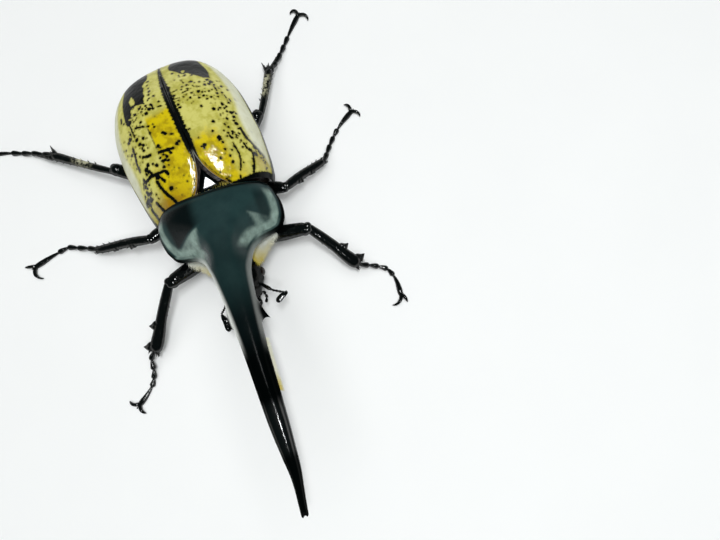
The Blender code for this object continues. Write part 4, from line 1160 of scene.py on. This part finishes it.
# Coxa, knee, ankle and the joints of the foot
LEGS = {
    "fore_left": (
        (2.9, -10.1, 6.2), (20.7, -16.2, 11.6), (30.7, -31.4, 4.2),
        (31.9, -32.3, 3.2), (34.8, -33.8, 1.8), (37.9, -36.5, 0.6), (38.6, -40.2, 0.42),
        (37.8, -45.5, 0.42),
    ),
    "fore_right": (
        (-6.7, -9.0, 6.2), (-22.9, -13.6, 11.6), (-36.9, -28.6, 4.2),
        (-38.2, -29.8, 3.2), (-39.4, -33.2, 1.8), (-41.6, -36.6, 0.6), (-44.6, -38.9, 0.42),
        (-47.6, -40.6, 0.42),
    ),
    "mid_left": (
        (6.4, 6.2, 6.0), (20.0, -1.3, 10.5), (34.8, 3.9, 4.0),
        (36.1, 5.3, 3.2), (37.9, 7.6, 1.8), (42.3, 12.0, 0.6), (46.2, 14.7, 0.42), (50.8, 17.0, 0.42),
    ),
    "mid_right": (
        (-6.4, 6.2, 6.0), (-23.2, 1.6, 10.5), (-40.7, 8.2, 4.0),
        (-42.2, 9.6, 3.2), (-46.2, 12.2, 1.8), (-50.5, 14.4, 0.6), (-54.4, 14.1, 0.42), (-61.4, 13.0, 0.42),
    ),
    "hind_left": (
        (7.6, 14.2, 5.9), (22.4, 24.7, 9.8), (32.3, 40.8, 4.2),
        (34.8, 42.1, 3.2), (38.4, 45.9, 1.8), (42.3, 50.2, 0.6), (46.4, 54.2, 0.42), (49.9, 57.2, 0.42),
    ),
    "hind_right": (
        (-7.6, 14.2, 5.9), (-25.2, 27.5, 9.8), (-42.5, 43.6, 4.2),
        (-44.6, 45.4, 3.2), (-48.2, 48.0, 2.2), (-52.6, 50.8, 0.9), (-57.5, 53.4, 0.42),
        (-64.0, 55.4, 0.42),
    ),
}
FOOT_JOINTS = (0.0, 0.2, 0.36, 0.51, 0.65, 1.0)
# Turn at the root and curl of the claw on each side, in degrees, and its length
CLAWS = {
    "fore_left": ((-8, -110, 5.2), (38, -40, 3.4)), "fore_right": ((-30, -90, 3.8), (30, 90, 3.8)),
    "mid_left": ((-28, -110, 4.2), (28, 110, 4.2)), "mid_right": ((-24, -8, 3.8), (35, 130, 5.8)),
    "hind_left": ((-30, -140, 5.2), (12, 200, 4.6)), "hind_right": ((-25, -100, 4.2), (25, 100, 4.2)),
}
CLAW_STEPS = 16
print("legs:", ", ".join(LEGS))

# %% Femur
def femur(name, sizes, coxa, knee):
    """The thigh, with two lobes and a heel at the knee."""
    out = unit(knee - coxa)
    start = coxa + out * (sizes["coxa"][0] - 0.5)
    first, middle, last = sizes["femur"]
    shape = (
        (0, first * 0.55), (0.08, first * 0.8), (0.16, first), (0.48, middle), (0.8, (middle + last) / 2),
        (0.94, last), (1, last * 0.7),
    )
    shells = [limb([start, (start + knee) / 2, knee], shape, around=36, steps=70, flat=0.86)]
    side = unit(np.cross(out, UP))
    lobes, apart = knee - out * 0.2, side * last * 0.3
    heel = knee - out * 1.1 + side * math.copysign(sizes["heel"], knee[0])
    for centre, radius in (
        (lobes - apart, last * 0.68), (lobes + apart, last * 0.68),
        (heel, last * sizes.get("knob", 0.88)), (start + out * 0.7, first * 0.78),
    ):
        shells.append(ball(centre, (radius,) * 3))
    built(f"femur_{name}", fused(shells, 0.15, 6), BODY, black_chitin)


print("half widths of the thighs:", {leg: sizes["femur"] for leg, sizes in LEG_SIZES.items()})

# %% Tibia
def tooth(root, tip, radius, bend=0.0):
    """A tapering tooth from root to tip, which may bow to one side."""
    shape = ((0, radius), (0.45, radius * 0.62), (0.75, radius * 0.28), (1, 0.1))
    return limb([root, (root + tip) / 2 + bend, tip], shape, around=14, steps=16)


def tibia(name, sizes, knee, ankle):
    """The shin with its teeth, spurs and bristles. Returns where the foot starts."""
    down = unit(ankle - knee)
    outward = math.copysign(1, knee[0]) * unit(np.cross(UP, down))
    first, middle, last = sizes["tibia"]
    start = knee - down * 0.6
    run = ankle - start
    shape = (
        (0, first * 0.85), (0.06, first * 0.9), (0.25, first), (0.5, middle), (0.88, last), (1, last * 0.82),
    )
    near, half_way, far = [outward * bow for bow in sizes["bow"]]
    end = ankle + far * 0.6
    line = [start + near, start + run * 0.45 + half_way, start + run * 0.86 + far, end]
    shells = [limb(line, shape, around=32, steps=80, flat=sizes["flat"])]
    spikes = []
    for share, length in sizes["teeth"]:
        axis, aside = start + run * share, outward * sizes["tooth_side"]
        root = axis - down * length * 0.22 + aside * middle * 0.35
        tip = axis + aside * length + down * 0.3
        for along in (-0.55, 0.25):
            shells.append(tooth(root + down * along * middle, tip, middle * 0.8, down * 0.2))
        spikes.append(tooth(root + (tip - root) * 0.5, tip, middle * 0.36, down * 0.1))
    for lean, length in sizes["spurs"]:
        root = end - down * 1.4 + outward * np.sign(lean) * last * 0.4
        spikes.append(tooth(root, ankle - down + unit(down + outward * lean) * length, 0.35 + 0.1 * length))
    for turn in full_turn(8):
        rim = outward * math.cos(turn) + np.cross(down, outward) * math.sin(turn) * sizes["flat"]
        root = end - down * 0.7 + rim * last * 0.7
        spikes.append(tooth(root, root + (down + rim * 0.35) * 1.2, 0.24))
    for edge in sizes.get("bristles", (-1, 1)):
        for share in np.linspace(0.3, 0.86, 6):
            root = start + run * share + half_way * 0.7 + outward * edge * middle * 0.75
            spikes.append(tooth(root, root + (outward * edge * 0.7 + down) * 0.85, 0.26))
    points, faces = joined([fused(shells, 0.12, 3), *spikes])
    along = ((points - knee) @ down) / np.linalg.norm(ankle - knee)
    first_share, last_share = VELVET.get(name, (2, 3))
    velvet = rise(first_share - 0.08, first_share + 0.08, along)
    velvet = velvet * fall(last_share - 0.12, last_share + 0.04, along)
    velvet = velvet * (0.3 + 0.7 * rise(-0.9, 0.5, (points - start - half_way) @ outward))
    built(f"tibia_{name}", (points, faces), BODY, black_chitin, {"velvet": velvet})
    return end


print("teeth on the shins:", {leg: len(sizes["teeth"]) for leg, sizes in LEG_SIZES.items()})

# %% Foot and claws
GROUND, CLAW_LIFT = 0.02, 0.42


def claw(place, ahead, turn, curl, length):
    """A hook that starts at an angle to the foot and bends further along its length."""
    path = [place]
    for step in range(CLAW_STEPS):
        angle = math.radians(turn + curl * (step / CLAW_STEPS) ** 1.2)
        heading = np.array(Matrix.Rotation(angle, 3, "Z")) @ ahead
        place = place + heading * length / CLAW_STEPS
        arch = 0.55 * math.sin(math.pi * (step + 1) / CLAW_STEPS)
        path.append(np.array((place[0], place[1], CLAW_LIFT + arch)))
    return limb(path, ((0, 0.6), (0.5, 0.5), (0.85, 0.3), (1, 0.08)), around=14, steps=34)


def foot(name, path):
    """Five beads, a pair of claws and the small bristle between them."""
    shells = beads(path, FOOT_JOINTS, 0.32, 0.86, around=16)
    ahead = unit((path[-1] - path[-2]) * (1, 1, 0))
    root = path[-1] - ahead * 0.7
    hooks = [claw(root, ahead, *numbers) for numbers in CLAWS[name]]
    pad = limb([root, root + ahead * 1.2, root + ahead * 1.9], ((0, 0.2), (0.6, 0.16), (1, 0.22)), steps=14)
    points, faces = joined([fused(shells, 0.09, 2), *hooks, pad])
    points[:, 2] = np.maximum(points[:, 2], GROUND)
    built(f"tarsus_{name}", (points, faces), BODY, black_chitin)


print("beads of a foot:", len(FOOT_JOINTS) - 1)

# %% All six legs
for name, places in LEGS.items():
    sizes = LEG_SIZES[name.split("_")[0]]
    coxa, knee, ankle, *path = [np.array(place) for place in places]
    out = unit(knee - coxa)
    lay = Matrix.Rotation(math.atan2(out[1], out[0]), 3, "Z")
    built(f"coxa_{name}", ball(coxa, sizes["coxa"], lay, around=44, rings=30), BODY, black_chitin)
    femur(name, sizes, coxa, knee)
    end = tibia(name, sizes, knee, ankle)
    foot(name, [end - (path[0] - end) * 0.5, *path])

# %% [markdown]
# ## Hair
# Beetles carry stiff golden hair where parts rub: under the front rim of the shield, between
# the shield and the wing cases, under the long horn, on the belly and round the mouth. Each
# hair is a thin bent cone. Geometry Nodes scatters cones over a narrow strip of mesh with a
# fixed seed, turned to the direction that the strip carries as an attribute, and frayed a
# little. The strip itself isn't shown.

# %% Golden hair finish
hair_finish, tree, shader, place, tone = new_finish("golden_beetle_hair", 1.55, 0.42, "tone")
strand = add_node(tree, "ShaderNodeTexNoise", {"Vector": place, "Scale": per_metre(0.6), "Detail": 2.0})
gold = painted(tree, linear("#cbb414"), ((strand, "#ecd93c"),))
pale = painted(tree, linear("#eef2ea"), ((strand, "#fbffff"),))
fill(shader, {
    "Base Color": add_node(tree, "ShaderNodeMix", {"Factor": tone, 6: pale, 7: gold}, data_type="RGBA"),
})

# %% Inputs of the hair tree
hair_tree = bpy.data.node_groups.new("scattered_hair", "GeometryNodeTree")
HAIR_INPUTS = (
    ("Hairs per square metre", "NodeSocketFloat", 1e7), ("Length", "NodeSocketFloat", 2 * MM),
    ("Thickness", "NodeSocketFloat", 0.03 * MM), ("Fray", "NodeSocketFloat", 0.25),
    ("Seed", "NodeSocketInt", 1), ("Finish", "NodeSocketMaterial", None),
)
hair_tree.interface.new_socket("Strip", in_out="INPUT", socket_type="NodeSocketGeometry")
for label, kind, value in HAIR_INPUTS:
    socket = hair_tree.interface.new_socket(label, in_out="INPUT", socket_type=kind)
    if value is not None:
        socket.default_value = value
hair_tree.interface.new_socket("Hair", in_out="OUTPUT", socket_type="NodeSocketGeometry")
identifiers = {item.name: item.identifier for item in hair_tree.interface.items_tree}
print("inputs of the hair tree:", ", ".join(label for label, _, _ in HAIR_INPUTS))

# %% One bent hair, many times over
inputs = add_node(hair_tree, "NodeGroupInput").outputs
cone = add_node(hair_tree, "GeometryNodeMeshCone", {
    "Vertices": 4, "Side Segments": 4, "Radius Top": 0.12, "Radius Bottom": 1.0, "Depth": 1.0,
})
along = add_node(hair_tree, "ShaderNodeSeparateXYZ", {
    0: add_node(hair_tree, "GeometryNodeInputPosition"),
})
squared = add_node(hair_tree, "ShaderNodeMath", {0: along.outputs["Z"], 1: 2.0}, operation="POWER")
sag = add_node(hair_tree, "ShaderNodeMath", {0: squared, 1: 6.0}, operation="MULTIPLY")
sag = add_node(hair_tree, "ShaderNodeCombineXYZ", {"X": sag})
hair = add_node(hair_tree, "GeometryNodeSetPosition", {"Geometry": cone, "Offset": sag})
scatter = add_node(hair_tree, "GeometryNodeDistributePointsOnFaces", {
    "Mesh": inputs["Strip"], "Density": inputs["Hairs per square metre"], "Seed": inputs["Seed"],
})
lie = add_node(hair_tree, "GeometryNodeInputNamedAttribute", {"Name": "lie"}, data_type="FLOAT_VECTOR")
loose = add_node(hair_tree, "FunctionNodeRandomValue", {
    0: (-1, -1, -1), 1: (1, 1, 1), "Seed": inputs["Seed"],
}, data_type="FLOAT_VECTOR")
loose = add_node(hair_tree, "ShaderNodeVectorMath", {0: loose, "Scale": inputs["Fray"]}, operation="SCALE")
heading = add_node(hair_tree, "ShaderNodeVectorMath", {0: lie, 1: loose}, operation="ADD")
turned = add_node(hair_tree, "FunctionNodeAlignRotationToVector", {"Vector": heading}, axis="Z")
longer = add_node(hair_tree, "FunctionNodeRandomValue", {2: 0.55, 3: 1.1, "Seed": 7}, data_type="FLOAT")
length = add_node(hair_tree, "ShaderNodeMath", {0: longer, 1: inputs["Length"]}, operation="MULTIPLY")
size = add_node(hair_tree, "ShaderNodeCombineXYZ", {
    "X": inputs["Thickness"], "Y": inputs["Thickness"], "Z": length,
})
tufts = add_node(hair_tree, "GeometryNodeInstanceOnPoints", {
    "Points": scatter, "Instance": hair, "Rotation": turned, "Scale": size,
})
real = add_node(hair_tree, "GeometryNodeRealizeInstances", {0: tufts})
smooth = add_node(hair_tree, "GeometryNodeSetShadeSmooth", {0: real})
coloured = add_node(hair_tree, "GeometryNodeSetMaterial", {
    "Geometry": smooth, "Material": inputs["Finish"],
})
add_node(hair_tree, "NodeGroupOutput", {0: coloured})
print("nodes of the hair tree:", len(hair_tree.nodes))

# %% Strips of hair
def strip(lines, place, lies, tones):
    """A mesh strip between lines of points, with the hair's direction and tone on its points."""
    lines = np.array(lines, float)
    _, quads = grid(*lines.shape[:2])
    mesh = bpy.data.meshes.new("strip")
    mesh.from_pydata(placed(lines.reshape(-1, 3), place).tolist(), [], quads.tolist())
    headings = np.broadcast_to(np.array(lies, float), lines.shape).reshape(-1, 3)
    headings = headings @ np.array(place)[:3, :3].T / MM
    mesh.attributes.new("lie", "FLOAT_VECTOR", "POINT").data.foreach_set("vector", headings.ravel())
    set_marks(mesh, {"tone": np.broadcast_to(np.array(tones, float), lines.shape[:2])})
    return mesh


def hairs(name, mesh, per_mm2, length, thickness, fray, seed):
    """Grows hair on the strip and keeps the hair as a plain mesh."""
    obj = bpy.data.objects.new("strip", mesh)
    bpy.context.scene.collection.objects.link(obj)
    modifier = obj.modifiers.new("hair", "NODES")
    modifier.node_group = hair_tree
    values = (per_mm2 * 1e6, length * MM, thickness * MM, fray, seed, hair_finish)
    for (label, _, _), value in zip(HAIR_INPUTS, values):
        modifier[identifiers[label]] = value
    graph = bpy.context.evaluated_depsgraph_get()
    grown = bpy.data.meshes.new_from_object(obj.evaluated_get(graph))
    bpy.data.objects.remove(obj)
    bpy.data.meshes.remove(mesh)
    piece(name, grown, hair_finish, "black_cuticle")


print("hair grows along the attribute lie, in the finish", hair_finish.name)

# %% Fringe under the front rim of the shield
RIM_INNER = (
    (13.8, -10.6, 12.4), (12.0, -11.4, 13.0), (10.2, -12.0, 13.6), (8.2, -13.2, 14.6), (6.6, -15.2, 16.2),
    (5.5, -17.6, 17.8),
)
RIM_OUTER = (
    (13.4, -11.8, 12.0), (11.8, -13.2, 12.0), (10.0, -14.6, 12.0), (8.6, -16.0, 12.2), (7.4, -17.4, 13.0),
    (6.2, -18.8, 14.4),
)
RIM_WAYS = (
    (0.1, -1.0, -0.1), (0.1, -1.0, -0.1), (0.2, -1.0, -0.1), (0.2, -1.0, -0.1), (0.1, -1.0, -0.1),
    (-0.1, -1.0, -0.1),
)
RIM_TONES = ((0.0, 0.0, 0.0, 0.0, 0.4, 1.0), (0.2, 0.3, 0.5, 0.6, 0.9, 1.0))
for name, side in SIDES:
    inner, outer, ways = [np.array(line) * (side, 1, 1) for line in (RIM_INNER, RIM_OUTER, RIM_WAYS)]
    mesh = strip((inner, outer), PROTHORAX, ways, RIM_TONES)
    hairs(f"rim_hair_{name}", mesh, 60, 2.3, 0.045, 0.14, 3)

# %% Hair under the horn, behind the shield and on the belly
f = np.linspace(17, 60, 40)
low, half, middle = SHIELD_UNDERSIDE(f), SHIELD_HALF_WIDTH(f), HORN_BEND(f)
lines = [
    np.stack([share * half + middle, -f, low + 0.35 + 0.24 * share**2 * (SHIELD_MARGIN(f) - low)], 1)
    for share in (-0.7, 0.0, 0.7)
]
hairs("horn_hair", strip(lines, PROTHORAX, (0.15, -0.25, -1.0), 1.0), 22, 1.3, 0.04, 0.45, 5)
f = np.linspace(42, 56, 24)
lines = [
    np.stack([share * SHIELD_HALF_WIDTH(f) + HORN_BEND(f), -f, SHIELD_MARGIN(f) - drop], 1)
    for share, drop in ((0.97, 0.5), (0.9, 1.4))
]
fringe = strip(lines, PROTHORAX, (0.75, -0.8, -0.2), 0.25 + 0.6 * rise(51, 55, f))
hairs("horn_fringe", fringe, 70, 1.35, 0.04, 0.15, 9)
x = np.linspace(-9.5, 8.5, 24)
lines = [np.stack([x, 0 * x + y, 25.0 - 0.012 * x**2 + lift], 1) for y, lift in ((0.9, 0.0), (1.6, 0.3))]
hairs("nape_hair", strip(lines, BODY, (0.0, 0.75, 0.6), 0.9), 16, 1.1, 0.04, 0.5, 6)
y = np.linspace(2, 17, 20)
lines = [np.stack([0 * y + x, y, BELLY(y) + 0.02 * abs(x) ** 1.9 + 0.1], 1) for x in (-9, -5, -2, 2, 5, 9)]
hairs("belly_hair", strip(lines, BODY, (0.0, 0.8, -0.45), 0.95), 9, 1.8, 0.04, 0.3, 8)

# %% [markdown]
# ## Floor, light and camera
# The beetle stands on plain white board under soft studio light. Two lamps are mirrored in the
# shell as bright streaks, and a wide soft ceiling, which isn't seen in mirrors, fills the shadows
# between dim sky and pale walls. The camera looks almost straight down from in front, with a
# short lens close to the beetle, so the long horn looks longer and the rear smaller. It has a
# place and two turns in the beetle's frame.

# %% Floor
FLOOR_SIZE = 3.0
board, tree, shader, place = new_finish("white_board", 1.45, 0.6)
fibres = add_node(tree, "ShaderNodeTexNoise", {"Vector": place, "Scale": per_metre(40), "Detail": 3.0})
fill(shader, {
    "Base Color": painted(tree, linear("#f2f3f3"), ((fibres, "#f6f7f7"),)), "Specular IOR Level": 0.25,
})
bpy.ops.mesh.primitive_plane_add(size=FLOOR_SIZE)
floor = bpy.context.object
floor.name = "board"
floor.data.materials.append(board)
floor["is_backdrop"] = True

# %% Light
LAMP_COLOUR, CEILING_COLOUR = (0.98, 1.0, 1.0), (1.0, 0.99, 0.985)
WALL_LIGHT, SKY_LIGHT = (1.0, 0.98, 0.93, 1), (0.03, 0.042, 0.042, 1)
world = bpy.data.worlds.new("pale_walls_and_dim_ceiling")
bpy.context.scene.world = world
world.use_nodes = True
tree = world.node_tree
direction = add_node(tree, "ShaderNodeSeparateXYZ", {
    0: add_node(tree, "ShaderNodeTexCoord").outputs["Generated"],
})
height = add_node(tree, "ShaderNodeMapRange", {
    "Value": direction.outputs["Z"], "From Min": 0.02, "From Max": 0.3,
}, interpolation_type="SMOOTHSTEP")
walls = add_node(tree, "ShaderNodeMix", {
    "Factor": height, 6: WALL_LIGHT, 7: SKY_LIGHT,
}, data_type="RGBA")
fill(tree.nodes["Background"], {"Color": walls})


def lamp(name, place, sizes, watts, colour, mirrored=True):
    """A rectangular lamp over a place in the beetle's frame, in metres, that shines down."""
    data = bpy.data.lights.new(name, "AREA")
    data.shape = "RECTANGLE"
    data.size, data.size_y = sizes
    data.energy = watts
    data.color = colour
    obj = bpy.data.objects.new(name, data)
    bpy.context.scene.collection.objects.link(obj)
    obj.location = shift + Vector(place)
    obj.visible_glossy = mirrored
    print(f"{name}: {watts} W")


lamp("ceiling_lamp", (0.085, -0.105, 0.9), (0.1, 0.26), 3.8, LAMP_COLOUR)
lamp("front_lamp", (0.05, -0.45, 0.9), (0.05, 0.12), 0.9, LAMP_COLOUR)
lamp("soft_ceiling", (0.0, 0.1, 1.0), (1.4, 1.4), 7.6, CEILING_COLOUR, mirrored=False)

# %% Camera
CAMERA_PLACE = (15.3, -62.2, 170.6)
CAMERA_TURN, CAMERA_TILT = math.radians(-26.05), math.radians(11.0)
SENSOR_WIDTH, FOCAL_LENGTH = 36.0, 27.65
lens = bpy.data.cameras.new("camera")
lens.sensor_width = SENSOR_WIDTH
lens.lens = FOCAL_LENGTH
lens.clip_start = 0.01
camera = bpy.data.objects.new("camera", lens)
bpy.context.scene.collection.objects.link(camera)
camera.matrix_world = (
    Matrix.Translation(BODY @ Vector(CAMERA_PLACE))
    @ Matrix.Rotation(CAMERA_TURN, 4, "Z") @ Matrix.Rotation(CAMERA_TILT, 4, "X")
)
bpy.context.scene.camera = camera
bpy.context.scene.view_settings.view_transform = "Standard"
print("the camera is", round(camera.matrix_world.translation.z / MM, 1), "mm above the floor")

# %% [markdown]
# ## Sizes of the finished model
# The box of the imported model and the box of the finished one are printed, so that the two
# can be compared.

# %% Boxes
shown_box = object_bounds()
for label, (low, high) in (("CAD", cad_box), ("visual", shown_box)):
    print(label, [round(value / MM, 1) for value in high - low], "mm")
